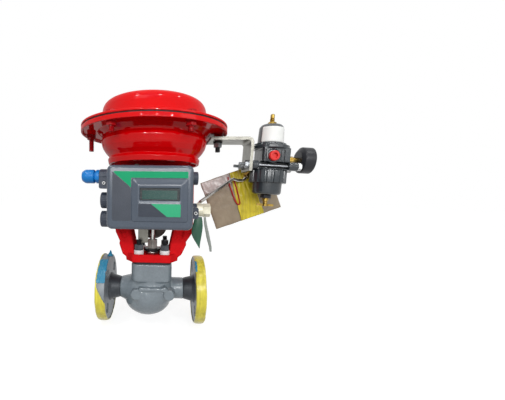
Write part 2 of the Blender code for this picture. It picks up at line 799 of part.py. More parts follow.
def make_valve_plug():
    """Contoured plug whose shoulder seats on the ring's chamfer, with its stem."""
    top = CHAMBER_FLOOR + 0.0015
    bore, stem, plug = SEAT_BORE_D / 2, STEM_D / 2, PLUG_D / 2
    profile = [(0, STEM_TOP), (stem - 0.0006, STEM_TOP), (stem, STEM_TOP - 0.0006), (stem, top + 0.020),
               (0.5 * plug, top + 0.017), (plug, top + 0.012), (plug, top + GAP),
               (bore - GAP, top + GAP), (bore - GAP, top - 0.002), (0.86 * bore, top - 0.006),
               (0.55 * bore, top - 0.011), (0, top - 0.012)]
    plug_piece = lathe("valve_plug", profile, steps=MIDDLE_ROUND)
    return done(plug_piece, "stainless")


def square_plate(name, width, corner, low, high):
    half = width / 2
    return box(name, (-half, -half, low), (half, half, high), corner, 2)


def make_bonnet():
    stem_hole, packing = STEM_D / 2 + RUNNING_GAP, PACKING_D / 2
    nose = BODY_TOP - BONNET_NOSE - GAP
    insert = CHAMBER_D / 2 - GAP
    top = BONNET_Z + BONNET_T
    profile = [(packing, BONNET_BOSS_TOP), (BONNET_BOSS_D / 2 - 0.001, BONNET_BOSS_TOP),
               (BONNET_BOSS_D / 2, BONNET_BOSS_TOP - 0.001), (BONNET_BOSS_D / 2, top - 0.001),
               (insert, top - 0.001), (insert, nose), (stem_hole, nose), (stem_hole, PACKING_FLOOR),
               (packing, PACKING_FLOOR)]
    bonnet = lathe("bonnet", profile, steps=ROUND, closed=True)
    plate = square_plate("plate", BONNET_W, NECK_BLOCK_CORNER, BONNET_Z, top)
    cut(plate, rod("middle", 2 * insert - 0.002, (0, 0, BONNET_Z - 0.01), (0, 0, top + 0.01), ROUND),
        *[rod("hole", STUD_D + 2 * GAP, (x, y, BONNET_Z - 0.01), (x, y, top + 0.01), BOLT_ROUND)
          for x, y in stud_places()])
    union(bonnet, plate)
    return done(bonnet, "black_steel")


def make_packing_set():
    """Stack of packing rings pressed together, with a groove where one meets the next."""
    outer, inner = PACKING_D / 2 - GAP, STEM_D / 2 + RUNNING_GAP
    low = PACKING_FLOOR + GAP
    steps = []
    for i in reversed(range(PACKING_RINGS)):
        z = low + i * PACKING_RING_T
        steps += [(outer - 0.0006, z + PACKING_RING_T), (outer, z + PACKING_RING_T - 0.0006), (outer, z + 0.0006)]
    profile = [(inner, low + PACKING_RINGS * PACKING_RING_T), *steps, (outer - 0.0006, low), (inner, low)]
    return done(lathe("packing_set", profile, steps=SMALL_ROUND, closed=True), "graphite")


def make_packing_follower():
    """Sleeve that presses the rings, with the dark flange that shows above the bonnet."""
    sleeve_low = PACKING_FLOOR + 2 * GAP + PACKING_RINGS * PACKING_RING_T
    bore, sleeve, rim = STEM_D / 2 + RUNNING_GAP, PACKING_D / 2 - GAP, FOLLOWER_FLANGE_D / 2
    top = FOLLOWER_Z + FOLLOWER_FLANGE_T
    profile = [(bore, top), (rim - 0.0008, top), (rim, top - 0.0008), (rim, FOLLOWER_Z), (sleeve, FOLLOWER_Z),
               (sleeve, sleeve_low), (bore, sleeve_low)]
    return done(lathe("packing_follower", profile, steps=MIDDLE_ROUND, closed=True), "black_steel")


def make_packing_nut():
    low = FOLLOWER_Z + FOLLOWER_FLANGE_T + GAP
    nut = hexagon("packing_nut", PACKING_NUT_AF, (0, 0, low), (0, 0, low + PACKING_NUT_H),
                  STEM_D + 2 * RUNNING_GAP)
    return done(nut, "stainless", 25)


def make_body_stud(name, x, y):
    """Stud with the thick washer and the nut that clamp yoke, bonnet and body."""
    washer_z = YOKE_FLOOR_Z + GAP
    nut_z = washer_z + STUD_WASHER_H
    top = nut_z + STUD_NUT_H + STUD_STICKOUT
    stud = rod("stud", STUD_D, (x, y, BODY_TOP - STUD_DEPTH), (x, y, top), BOLT_ROUND, 0.0008)
    washer = rod("washer", STUD_WASHER_D, (x, y, washer_z), (x, y, nut_z + 0.0001))
    nut = hexagon("nut", STUD_NUT_AF, (x, y, nut_z), (x, y, nut_z + STUD_NUT_H))
    return done(fused(name, stud, washer, nut), "zinc", 25)


# Yoke

def leg_outline(side):
    """Front view of one leg, from inside the base slab to inside the top plate."""
    z0, floor, top = YOKE_BASE_Z + 0.003, YOKE_FLOOR_Z, YOKE_PLATE_Z + 0.0015
    knee, hip = floor + YOKE_KNEE_H, floor + YOKE_HIP_H
    outer = [(YOKE_BASE_X - 0.001, z0), (YOKE_BASE_X + 0.0005, z0 + 0.0045), (YOKE_BASE_X + 0.007, z0 + 0.009),
             (YOKE_WAIST, knee), (YOKE_WAIST - 0.0015, knee + 0.0035), (YOKE_SPREAD - 0.001, hip),
             (YOKE_SPREAD, hip + YOKE_SHOULDER_H), (YOKE_SPREAD, top - YOKE_SHOULDER_DROP),
             (YOKE_SPREAD - YOKE_SHOULDER_W, top)]
    inner = [(YOKE_WINDOW, top), (YOKE_WINDOW, hip + YOKE_SHOULDER_H), (YOKE_WINDOW - 0.0035, hip + 0.001),
             (YOKE_WINDOW_FOOT + 0.004, floor + 0.8 * YOKE_KNEE_H), (YOKE_WINDOW_FOOT, floor), (YOKE_WINDOW_FOOT, z0)]
    return [(side * x, z) for x, z in outer + inner]


def make_leg(side):
    leg = slab("leg", [leg_outline(side)], YOKE_DEPTH, "XZ")
    bevel = leg.modifiers.new("edges", "BEVEL")
    bevel.width = YOKE_EDGE
    bevel.segments = 1
    bevel.limit_method = "ANGLE"
    bevel.angle_limit = math.radians(60)
    return bake(leg)


def yoke_base_outline(inset=0.0):
    x, y, flat = YOKE_BASE_X - inset, YOKE_BASE_Y - inset, YOKE_BASE_FLAT - 0.6 * inset
    side = 0.55 * YOKE_BASE_Y
    quarter = [(x, side), (flat, y)]
    return (quarter + [(-u, v) for u, v in reversed(quarter)] + [(-u, -v) for u, v in quarter]
            + [(u, -v) for u, v in reversed(quarter)])


def make_yoke():
    rim_top = YOKE_FLOOR_Z + YOKE_RIM_H
    yoke = slab("yoke", [yoke_base_outline()], rim_top - YOKE_BASE_Z, "XY", (rim_top + YOKE_BASE_Z) / 2)
    pocket = slab("pocket", [yoke_base_outline(YOKE_RIM_W)], 2 * YOKE_RIM_H, "XY", rim_top)
    cut(yoke, pocket)
    plate = rod("plate", YOKE_PLATE_D, (0, 0, YOKE_PLATE_Z), (0, 0, YOKE_TOP), ROUND)
    boss = rod("boss", YOKE_BOSS_D, (0, 0, YOKE_PLATE_Z - YOKE_BOSS_H), (0, 0, YOKE_PLATE_Z + 0.001), MIDDLE_ROUND,
               chamfer=0.001)
    union(yoke, make_leg(-1), make_leg(1), plate, boss)
    drills = [rod("hole", STUD_D + 2 * GAP, (x, y, YOKE_BASE_Z - 0.01), (x, y, rim_top + 0.01), BOLT_ROUND)
              for x, y in stud_places()]
    drills.append(rod("bonnet_hole", BONNET_BOSS_D + 2 * GAP, (0, 0, YOKE_BASE_Z - 0.01), (0, 0, rim_top + 0.01), ROUND))
    drills.append(rod("bush_hole", BUSHING_D + 2 * GAP, (0, 0, YOKE_PLATE_Z - YOKE_BOSS_H - 0.01),
                      (0, 0, YOKE_TOP + 0.01), MIDDLE_ROUND))
    for x, y in stud_places():
        drills.append(rod("spot_face", STUD_WASHER_D + 4 * GAP, (x, y, YOKE_FLOOR_Z),
                          (x, y, YOKE_FLOOR_Z + STUD_WASHER_H + STUD_NUT_H + 0.002), SMALL_ROUND))
    for x, z in bracket_screw_places():
        drills.append(rod("tapped", BRACKET_SCREW_D + 2 * GAP, (x, YOKE_FRONT - 0.01, z), (x, YOKE_FRONT + 0.013, z), 8))
    cut(yoke, *drills)
    return done(yoke, "red_paint")


# Actuator

def casing_bolt_places():
    return [spun(360 / CASING_BOLTS * i, CASING_BOLT_CIRCLE_R) for i in range(CASING_BOLTS)]


def bolt_holes(low, high, clearance=GAP):
    return [rod("hole", CASING_BOLT_D + 2 * clearance, (x, y, low), (x, y, high), BOLT_ROUND)
            for x, y in casing_bolt_places()]


def make_lower_casing():
    """Pressed bowl with a turned-down rim, a bolting flange and a skirt below the floor."""
    r, bowl, skirt = CASING_D / 2, BOWL_D / 2, SKIRT_D / 2
    under = JOINT_Z - CASING_WALL
    shell_r = bowl + 0.003
    depth = under - CASING_FLOOR
    bowl_points = [(shell_r + 0.005, under), (bowl + 0.0012, under - 0.009),
                   (bowl, under - 0.36 * depth), (bowl - 0.002, under - 0.55 * depth),
                   (bowl - 0.008, under - 0.73 * depth), (skirt + 0.0015, CASING_FLOOR + 0.004),
                   (skirt, CASING_FLOOR - SKIRT_DROP)]
    inside = [(skirt - CASING_WALL, CASING_FLOOR - SKIRT_DROP), (skirt - CASING_WALL, CASING_FLOOR),
              (BUSHING_D / 2 + 0.003, CASING_FLOOR), (BUSHING_D / 2 + 0.003, CASING_FLOOR + CASING_WALL),
              (skirt - CASING_WALL, CASING_FLOOR + CASING_WALL),
              (bowl - 0.0095 - CASING_WALL, under - 0.69 * depth), (bowl - 0.003 - CASING_WALL, under - 0.51 * depth),
              (bowl + 0.0005 - CASING_WALL, JOINT_Z - 0.012), (bowl + 0.001, JOINT_Z)]
    profile = [(r, JOINT_Z), (r, JOINT_Z - LIP_DROP), (r - 0.0025, JOINT_Z - LIP_DROP), (r - 0.0045, under),
               *bowl_points, *inside]
    casing = lathe("lower_casing", profile, closed=True)
    cut(casing, *bolt_holes(under - 0.01, JOINT_Z + 0.01))
    return done(casing, "red_paint")


def make_upper_casing():
    """Pressed dome, open below, with the same bolting flange."""
    r, dome = CASING_D / 2, DOME_D / 2
    top = UPPER_Z + DOME_H
    centre = (dome - 0.0015 - DOME_CORNER, top - DOME_CORNER)
    corner = arc(centre, DOME_CORNER, 90, 4, 5)
    outer = [(0, top + DOME_CROWN), (0.55 * dome, top + 0.7 * DOME_CROWN), *corner,
             (dome, UPPER_Z + CASING_WALL + 0.004), (dome + 0.003, UPPER_Z + CASING_WALL),
             (r, UPPER_Z + CASING_WALL), (r, UPPER_Z)]
    inner_corner = arc(centre, DOME_CORNER - CASING_WALL, 4, 90, 4)
    inner = [(dome + 0.001, UPPER_Z), (dome - CASING_WALL, UPPER_Z + 0.004), *inner_corner,
             (0, top + DOME_CROWN - CASING_WALL)]
    casing = lathe("upper_casing", outer + inner)
    cut(casing, *bolt_holes(UPPER_Z - 0.01, UPPER_Z + CASING_WALL + 0.01))
    return done(casing, "red_paint")


def make_diaphragm():
    """Moulded membrane, clamped at the rim and hung to the plate."""
    rim, t = JOINT_Z + GAP, DIAPHRAGM_T
    roll, low = DIAPHRAGM_ROLL_D / 2, DIAPHRAGM_LOW
    hole = ACTUATOR_STEM_D / 2 + GAP
    edge = CASING_D / 2 - 0.001
    profile = [(hole, low + t), (roll - 0.004, low + t), (roll - t, low + 0.006), (roll - t + 0.0005, rim + t - 0.003),
               (roll + 0.0025, rim + t), (edge, rim + t), (edge, rim), (roll + 0.003, rim),
               (roll + 0.0005, rim - 0.003), (roll, low + 0.005), (roll - 0.004, low), (hole, low)]
    membrane = lathe("diaphragm", profile, closed=True)
    cut(membrane, *bolt_holes(rim - 0.01, rim + 0.01, 2 * GAP))
    return done(membrane, "rubber")


def make_diaphragm_plate():
    z, t, r = DIAPHRAGM_PLATE_Z, PLATE_T, PLATE_D / 2
    hole = ACTUATOR_STEM_D / 2 + GAP
    profile = [(hole, z + t), (r - 0.003, z + t), (r - 0.003, z + t + 0.004), (r, z + t + 0.004), (r, z + 0.001),
               (r - 0.001, z), (hole, z)]
    return done(lathe("diaphragm_plate", profile, closed=True), "zinc")


def coil(name, diameter, wire_d, turns, low, high, at, per_turn=7):
    """Helical spring between two levels, as a closed mesh."""
    count = int(turns * per_turn) + 1
    span = high - low - wire_d
    points = []
    for i in range(count):
        x, y = spun(360 * turns * i / (count - 1), (diameter - wire_d) / 2)
        points.append((at[0] + x, at[1] + y, low + wire_d / 2 + span * i / (count - 1)))
    return swept(name, points, [wire_d / 2] * count, 0)


def spring_places():
    return [spun(45 + 360 / SPRING_COUNT * i, SPRING_CIRCLE_R) for i in range(SPRING_COUNT)]


def make_spring_pack():
    """Coils held between two retaining plates, as one pack."""
    low, high = PLATE_TOP + GAP, DOME_INSIDE - GAP
    sheet, bite = SPRING_SHEET, 0.35 * SPRING_WIRE_D
    reach = SPRING_CIRCLE_R + SPRING_D / 2 + 0.002
    hole = STEM_NUT_AF + 0.008
    pack = ring("lower_plate", 2 * reach, hole, low, low + sheet, steps=ROUND)
    top = ring("upper_plate", 2 * reach, hole, high - sheet, high, steps=ROUND)
    coils = [coil("spring", SPRING_D, SPRING_WIRE_D, SPRING_TURNS, low + sheet - bite, high - sheet + bite, at)
             for at in spring_places()]
    return done(fused("spring_pack", pack, *coils, top), "spring_steel")


def make_actuator_stem():
    """Stem with the collar under the diaphragm, and the nut that clamps the plate."""
    r, collar = ACTUATOR_STEM_D / 2, STEM_COLLAR_D / 2
    end = PLATE_TOP + GAP + STEM_NUT_H + 0.0025
    low = STEM_TOP + 0.0015
    profile = [(0, end), (r - 0.001, end), (r, end - 0.001), (r, STEM_COLLAR_TOP), (collar, STEM_COLLAR_TOP),
               (collar, STEM_COLLAR_TOP - STEM_COLLAR_T), (r, STEM_COLLAR_TOP - STEM_COLLAR_T), (r, low), (0, low)]
    stem = lathe("stem", profile, steps=MIDDLE_ROUND)
    nut = hexagon("nut", STEM_NUT_AF, (0, 0, PLATE_TOP + GAP), (0, 0, PLATE_TOP + GAP + STEM_NUT_H))
    return done(fused("actuator_stem", stem, nut), "stainless", 25)


def make_stem_bushing():
    low = YOKE_PLATE_Z - YOKE_BOSS_H + 0.001
    bushing = ring("stem_bushing", BUSHING_D, ACTUATOR_STEM_D + 2 * RUNNING_GAP, low, CASING_FLOOR + 0.005, steps=MIDDLE_ROUND)
    return done(bushing, "brass")


def make_stem_connector():
    """Clamp that joins the valve stem to the actuator stem."""
    r, low, high = CONNECTOR_D / 2, CONNECTOR_Z, CONNECTOR_Z + CONNECTOR_H
    small, large = STEM_D / 2 + GAP, ACTUATOR_STEM_D / 2 + GAP
    step = STEM_TOP + 0.0008
    profile = [(large, high), (r - 0.001, high), (r, high - 0.001), (r, low + 0.001), (r - 0.001, low),
               (small, low), (small, step), (large, step)]
    return done(lathe("stem_connector", profile, steps=MIDDLE_ROUND, closed=True), "black_steel")


def make_anti_rotation_plate():
    back = CONNECTOR_D / 2 + GAP
    plate = rod("anti_rotation_plate", ROUND_PLATE_D, (0, back, ROUND_PLATE_Z), (0, back + FEEDBACK_T, ROUND_PLATE_Z),
                36, chamfer=0.0005)
    return done(plate, "brown_steel")


def make_feedback_plate():
    """Strip in front of the connector with a foot low on the left, and the magnet bar it carries."""
    half = FEEDBACK_W / 2
    foot_top = FEEDBACK_FOOT_Z + FEEDBACK_FOOT_H
    corners = [(half, foot_top - 0.002), (half, FEEDBACK_TOP), (-half, FEEDBACK_TOP), (-half, foot_top + 0.012),
               (FEEDBACK_FOOT_X, foot_top + 0.012), (FEEDBACK_FOOT_X, FEEDBACK_FOOT_Z + 0.007),
               (FEEDBACK_FOOT_X + 0.006, FEEDBACK_FOOT_Z), (-half + 0.002, FEEDBACK_FOOT_Z),
               (-half + 0.002, foot_top - 0.002)]
    outline = rounded(corners, [0.002, 0.004, 0.004, 0.002, 0.003, 0.002, 0.002, 0.002, 0.002], 2)
    y = -CONNECTOR_D / 2 - GAP - FEEDBACK_T / 2
    plate = slab("feedback_plate", [outline], FEEDBACK_T, "XZ", y)
    front = -CONNECTOR_D / 2 - GAP - FEEDBACK_T
    top = FEEDBACK_TOP - 0.003
    bar = box("magnet_array", (-MAGNET_W / 2, front - MAGNET_T, top - MAGNET_L), (MAGNET_W / 2, front + 0.001, top),
              0.0015, 1)
    return done(union(plate, bar), "stainless")


def make_casing_bolt(name, x, y):
    """Bolt down through both casings with its nut; those on the X axis are longer."""
    head_low = UPPER_Z + CASING_WALL + GAP
    under = JOINT_Z - CASING_WALL - GAP
    is_long = abs(y) < 1e-6
    end = JOINT_Z - (LONG_BOLT_END if is_long else SHORT_BOLT_END)
    bolt = rod("bolt", CASING_BOLT_D, (x, y, end), (x, y, head_low + 0.001), BOLT_ROUND)
    parts = [hexagon("head", CASING_NUT_AF, (x, y, head_low), (x, y, head_low + CASING_HEAD_H))]
    if is_long and x > 0:
        parts.append(hexagon("spacer", CASING_NUT_AF, (x, y, ARM_TOP + GAP), (x, y, under)))
        under = ARM_TOP - LEG_T - GAP
    parts.append(hexagon("nut", CASING_NUT_AF, (x, y, under - CASING_NUT_H), (x, y, under)))
    return done(fused(name, bolt, *parts), "red_paint", 25)


# Positioner

def positioner_box(name, front, back, inset=0.0, edge=0.0):
    half = POSITIONER_W / 2 - inset
    height = POSITIONER_H / 2 - inset
    corner = max(BOX_CORNER - inset, 0.002)
    return box(name, (POSITIONER_X - half, front, POSITIONER_Z - height),
               (POSITIONER_X + half, back, POSITIONER_Z + height), corner, 1, edge)


def side_rod(name, diameter, x, reach, y, z, chamfer=0.0, sides=MIDDLE_ROUND):
    return rod(name, diameter, (x, y, z), (x + reach, y, z), sides, chamfer)


def make_positioner_housing():
    """Open-fronted housing with side bosses, ears and posts for the board."""
    housing = positioner_box("positioner_housing", HOUSING_FRONT, HOUSING_BACK)
    floor = HOUSING_BACK - HOUSING_WALL
    cut(housing, positioner_box("cavity", HOUSING_FRONT - 0.01, floor, HOUSING_WALL))
    root = HOUSING_WALL / 2
    bosses = [
        side_rod("gland_boss", GLAND_BOSS_D, POSITIONER_LEFT + root, -BOSS_REACH - root, BOSS_Y, GLAND_Z, 0.0008),
        side_rod("supply_boss", SUPPLY_BOSS_D, POSITIONER_RIGHT - root, SUPPLY_BOSS_L + root, SUPPLY_Y, SUPPLY_Z),
    ]
    for x, reach, z in ((POSITIONER_LEFT + root, -LEFT_EAR_REACH - root, LEFT_EAR_Z),
                        (POSITIONER_RIGHT - root, RIGHT_EAR_REACH + root, RIGHT_EAR_Z)):
        low_x, high_x = sorted((x, x + reach))
        bosses.append(box("ear", (low_x, EAR_Y - EAR_T / 2, z - 0.009), (high_x, EAR_Y + EAR_T / 2, z + 0.009),
                          0.003, 1))
    half_w, half_h = POSITIONER_W / 2 - 0.014, POSITIONER_H / 2 - 0.012
    for sx in (-1, 1):
        for sz in (-1, 1):
            x, z = POSITIONER_X + sx * half_w, POSITIONER_Z + sz * half_h
            bosses.append(rod("post", 0.007, (x, floor + root, z), (x, floor - BOARD_STANDOFF + 0.0002, z), 8))
    union(housing, *bosses)
    drills = [rod("screw_head_recess", EAR_SCREW_D, (x, EAR_Y - EAR_T, z), (x, EAR_Y - EAR_T / 2 + 0.004, z), BOLT_ROUND)
              for x, z in ear_screw_places()]
    cut(housing, *drills)
    return done(housing, "positioner_paint")


def ear_screw_places():
    return [(POSITIONER_LEFT - 0.65 * LEFT_EAR_REACH, LEFT_EAR_Z),
            (POSITIONER_RIGHT + 0.68 * RIGHT_EAR_REACH, RIGHT_EAR_Z)]


def plateau_centre():
    return POSITIONER_X + PLATEAU_X, POSITIONER_Z + PLATEAU_DZ


def window_box(name, grow, front, back):
    x, z = plateau_centre()
    x, z = x + WINDOW_DX, z + WINDOW_DZ
    half_w, half_h = WINDOW_W / 2 + grow, WINDOW_H / 2 + grow
    return box(name, (x - half_w, front, z - half_h), (x + half_w, back, z + half_h), 0.0012, 1)


def label_outlines():
    """The L-shaped film: a stripe along the top and a panel down the left side."""
    left = POSITIONER_LEFT + LABEL_MARGIN
    right = POSITIONER_RIGHT - LABEL_MARGIN
    top = POSITIONER_Z + POSITIONER_H / 2 - LABEL_MARGIN - 0.003
    foot = POSITIONER_Z - POSITIONER_H / 2 + LABEL_FOOT
    panel = left + LABEL_PANEL_W
    stripe = top - LABEL_STRIPE_H
    corners = [(left, top), (left, foot), (panel, foot), (panel, stripe), (right, stripe), (right, top)]
    return rounded(corners, [0.002, 0.002, 0.002, 0, 0.001, 0.001], 2)


def make_positioner_cover():
    """Bevelled lid with a raised display frame, a window opening and sunk labels."""
    cover = positioner_box("positioner_cover", POSITIONER_FRONT, COVER_BACK)
    bevel = cover.modifiers.new("front_edge", "BEVEL")
    bevel.width = COVER_EDGE
    bevel.segments = 3
    bevel.limit_method = "ANGLE"
    bevel.angle_limit = math.radians(60)
    bake(cover)
    trim = positioner_box("straight_back", COVER_BACK - COVER_EDGE - 0.002, COVER_BACK)
    union(cover, trim)
    x, z = plateau_centre()
    bm = bmesh.new()
    bmesh.ops.create_cube(bm, size=1.0)
    for vert in bm.verts:
        front = vert.co.y < 0
        inset = PLATEAU_BEVEL if front else 0.0
        vert.co.x = x + math.copysign(PLATEAU_W / 2 - inset, vert.co.x)
        vert.co.z = z + math.copysign(PLATEAU_H / 2 - inset, vert.co.z)
        vert.co.y = POSITIONER_FRONT - PLATEAU_RISE if front else POSITIONER_FRONT + 0.001
    union(cover, from_bmesh("plateau", bm))
    inner_front = POSITIONER_FRONT + COVER_WALL
    top = POSITIONER_FRONT - PLATEAU_RISE
    cut(cover, positioner_box("hollow", inner_front, COVER_BACK + 0.01, COVER_WALL + 0.002),
        window_box("window_seat", GAP, top - 0.01, top + WINDOW_T + 2 * GAP),
        window_box("window_hole", -WINDOW_LEDGE, top - 0.01, inner_front + 0.01),
        slab("label_recess", [label_outlines()], 2 * LABEL_T, "XZ", POSITIONER_FRONT),
        nameplate("name_recess", GAP, top - 0.01, top + LABEL_T + GAP))
    return done(cover, "positioner_paint", 30)


def nameplate(name, grow, front, back):
    x, z = plateau_centre()
    z += NAMEPLATE_DZ
    half_w, half_h = NAMEPLATE_W / 2 + grow, NAMEPLATE_H / 2 + grow
    return box(name, (x - half_w, front, z - half_h), (x + half_w, back, z + half_h), 0.0008, 1)


def make_display_window():
    top = POSITIONER_FRONT - PLATEAU_RISE
    return done(window_box("display_window", 0, top + GAP, top + GAP + WINDOW_T), "clear_plastic")


def make_module_base():
    """Removable unit on the housing's floor: converter block, relay, board and display."""
    floor = HOUSING_BACK - HOUSING_WALL - GAP
    half_w, half_h = MODULE_W / 2, MODULE_H / 2
    board = floor - BOARD_STANDOFF
    block = box("module_base", (POSITIONER_X - half_w, floor - MODULE_D, POSITIONER_Z - half_h),
                (POSITIONER_X + half_w, floor, POSITIONER_Z + half_h), 0.004, 1, 0.001)
    relay = rod("relay", 0.022, (POSITIONER_X - 0.014, floor - MODULE_D + 0.001, POSITIONER_Z),
                (POSITIONER_X - 0.014, board - 0.0005, POSITIONER_Z), BOLT_ROUND)
    half_w, half_h = POSITIONER_W / 2 - BOARD_SIDE_MARGIN, POSITIONER_H / 2 - BOARD_TOP_MARGIN
    plate = box("board", (POSITIONER_X - half_w, board - BOARD_T, POSITIONER_Z - half_h),
                (POSITIONER_X + half_w, board, POSITIONER_Z + half_h), 0.002, 1)
    start = POSITIONER_X - half_w + TERMINAL_INSET
    strip = box("terminals", (start, board - BOARD_T - 0.008, POSITIONER_Z - 0.034),
                (start + TERMINAL_L, board - 0.0005, POSITIONER_Z - 0.022))
    lcd = window_box("lcd", 0.002, POSITIONER_FRONT + COVER_WALL + GAP, board - 0.0005)
    return done(union(block, relay, plate, strip, lcd), "circuit_green")


def make_cable_gland():
    """Gland with a hexagonal body and a domed cap, open at its end for a cable."""
    face = GLAND_L
    r, bore = GLAND_D / 2, GLAND_BORE_D / 2
    profile = [(0, face - 0.015), (bore, face - 0.015), (bore, face), (r - 0.0035, face),
               (r - 0.0006, face - 0.0035), (r, face - 0.007), (r, 0.0155), (r - 0.0012, 0.0145),
               (r - 0.0026, 0.0140), (r - 0.0026, 0.0115), (r - 0.0008, 0.0105), (r - 0.0008, GAP), (0, GAP)]
    gland = lathe("cable_gland", profile, (POSITIONER_LEFT - BOSS_REACH, BOSS_Y, GLAND_Z), (-1, 0, 0), MIDDLE_ROUND)
    return done(gland, "blue_plastic", 30)


def make_conduit_plug(name, z):
    plug = side_rod(name, SIDE_PLUG_D, POSITIONER_LEFT - GAP, -PLUG_REACH, SIDE_PLUG_Y, z, 0.0012)
    return done(plug, "black_plastic")


def make_vent_plug():
    plug = side_rod("vent_plug", VENT_D, POSITIONER_RIGHT + GAP, VENT_L, BOSS_Y, VENT_Z, 0.0012)
    return done(plug, "black_plastic")


def bracket_screw_places():
    return [(sx * BRACKET_SCREW_X, POSITIONER_Z + sz * BRACKET_SCREW_DZ) for sx in (-1, 1) for sz in (-1, 1)]


def make_positioner_bracket():
    """Channel bracket screwed to the yoke legs, with two flanges forward to the housing."""
    half_w, half_h = BRACKET_W / 2, BRACKET_H / 2
    z0, z1 = POSITIONER_Z - half_h, POSITIONER_Z + half_h
    corners = [(-half_w, z0), (half_w, z0), (half_w, z1), (-half_w, z1)]
    win_w, win_h = BRACKET_WINDOW_W / 2, BRACKET_WINDOW_H / 2
    window = [(-win_w, POSITIONER_Z - win_h), (win_w, POSITIONER_Z - win_h),
              (win_w, POSITIONER_Z + win_h), (-win_w, POSITIONER_Z + win_h)]
    outlines = [rounded(corners, [0.004] * 4, 2), rounded(window, [0.005] * 4, 2)]
    bracket = slab("positioner_bracket", outlines, BRACKET_T, "XZ", (BRACKET_FRONT + BRACKET_BACK) / 2)
    front = HOUSING_BACK + GAP
    flanges = []
    for side in (-1, 1):
        outer = POSITIONER_X + side * (POSITIONER_W / 2 - 0.002)
        inner = outer - side * BRACKET_FLANGE_T
        low_x, high_x = sorted((outer, inner))
        flanges.append(box("flange", (low_x, front, z0 + 0.004), (high_x, BRACKET_BACK - 0.001, z1 - 0.004)))
        foot_low, foot_high = sorted((outer, outer - side * 0.014))
        flanges.append(box("foot", (foot_low, front, z0 + 0.004), (foot_high, front + BRACKET_FLANGE_T, z1 - 0.004)))
    half_tab = BRACKET_TAB_W / 2
    flanges.append(box("tab", (BRACKET_TAB_X - half_tab, BRACKET_FRONT, z1 - 0.002),
                       (BRACKET_TAB_X + half_tab, BRACKET_BACK, YOKE_PLATE_Z - GAP), 0.0015, 2))
    for x, z in bracket_screw_places():
        flanges.append(rod("head", 1.6 * BRACKET_SCREW_D, (x, BRACKET_FRONT - 0.0055, z), (x, BRACKET_FRONT + 0.001, z),
                           BOLT_ROUND))
        flanges.append(rod("shank", BRACKET_SCREW_D, (x, BRACKET_BACK - 0.001, z), (x, YOKE_FRONT + 0.012, z), 8))
    union(bracket, *flanges)
    return done(bracket, "stainless")


def supply_face():
    return POSITIONER_RIGHT + SUPPLY_BOSS_L


def banjo_centre():
    return Vector((supply_face() + GAP + BANJO_L / 2, SUPPLY_Y, SUPPLY_Z))


def banjo_direction():
    return Vector((0.0, 0.85, 0.52)).normalized()


def make_supply_fitting():
    """Banjo fitting: a ring with the tube's spigot, held by a hexagonal bolt."""
    x = supply_face() + GAP
    fitting = side_rod("supply_fitting", SUPPLY_BOSS_D - 0.001, x, BANJO_L, SUPPLY_Y, SUPPLY_Z, 0.0008)
    head = hexagon("head", BANJO_HEAD_AF, (x + BANJO_L - 0.0002, SUPPLY_Y, SUPPLY_Z),
                   (x + BANJO_L + BANJO_HEAD_L, SUPPLY_Y, SUPPLY_Z))
    centre, out = banjo_centre(), banjo_direction()
    spigot = rod("spigot", TUBE_D + 0.004, centre, centre + out * 0.0165, BOLT_ROUND)
    return done(union(fitting, head, spigot), "stainless", 25)


# Air set

def air_set_matrix():
    return Matrix.Translation(AIR_SET_AT) @ Matrix.Rotation(AIR_SET_LEAN, 4, "Y")


def make_air_set_frame():
    empty = bpy.data.objects.new("air_set_frame", None)
    empty.matrix_world = air_set_matrix()
    PARTS.objects.link(empty)
    return empty


def leaning(x, z):
    """World X and Z of a point of the air set's own frame."""
    point = air_set_matrix() @ Vector((x, 0, z))
    return point.x, point.z


def crossing(x, height):
    """Point at the given world height on the leaning line of constant local x."""
    low, high = Vector(leaning(x, -0.05)), Vector(leaning(x, 0.08))
    share = (height - low.y) / (high.y - low.y)
    return tuple(low.lerp(high, share))


def make_regulator_bracket():
    """Flat bar bent once: an arm under the casing flange and a leg that carries the air set."""
    right, left = LEG_X, LEG_X - LEG_T
    start = CASING_BOLT_CIRCLE_R - ARM_END
    corners = [(start, ARM_TOP - LEG_T), crossing(left, ARM_TOP - LEG_T), leaning(left, LEG_FOOT),
               leaning(right, LEG_FOOT), crossing(right, ARM_TOP), (start, ARM_TOP)]
    outline = rounded(corners, [0, ARM_BEND_R - LEG_T, 0, 0, ARM_BEND_R, 0], 5)
    bracket = slab("regulator_bracket", [outline], BRACKET_BAR_W, "XZ")
    cut(bracket, rod("bolt_hole", CASING_BOLT_D + 2 * GAP, (CASING_BOLT_CIRCLE_R, 0, ARM_TOP - 0.02),
                     (CASING_BOLT_CIRCLE_R, 0, ARM_TOP + 0.01)))
    for side in (-1, 1):
        start_x, start_z = leaning(left - 0.01, LUG_Z)
        end_x, end_z = leaning(right + 0.01, LUG_Z)
        cut(bracket, rod("hole", THROUGH_BOLT_D + 2 * GAP, (start_x, side * LUG_Y, start_z),
                         (end_x, side * LUG_Y, end_z)))
    return done(bracket, "stainless")


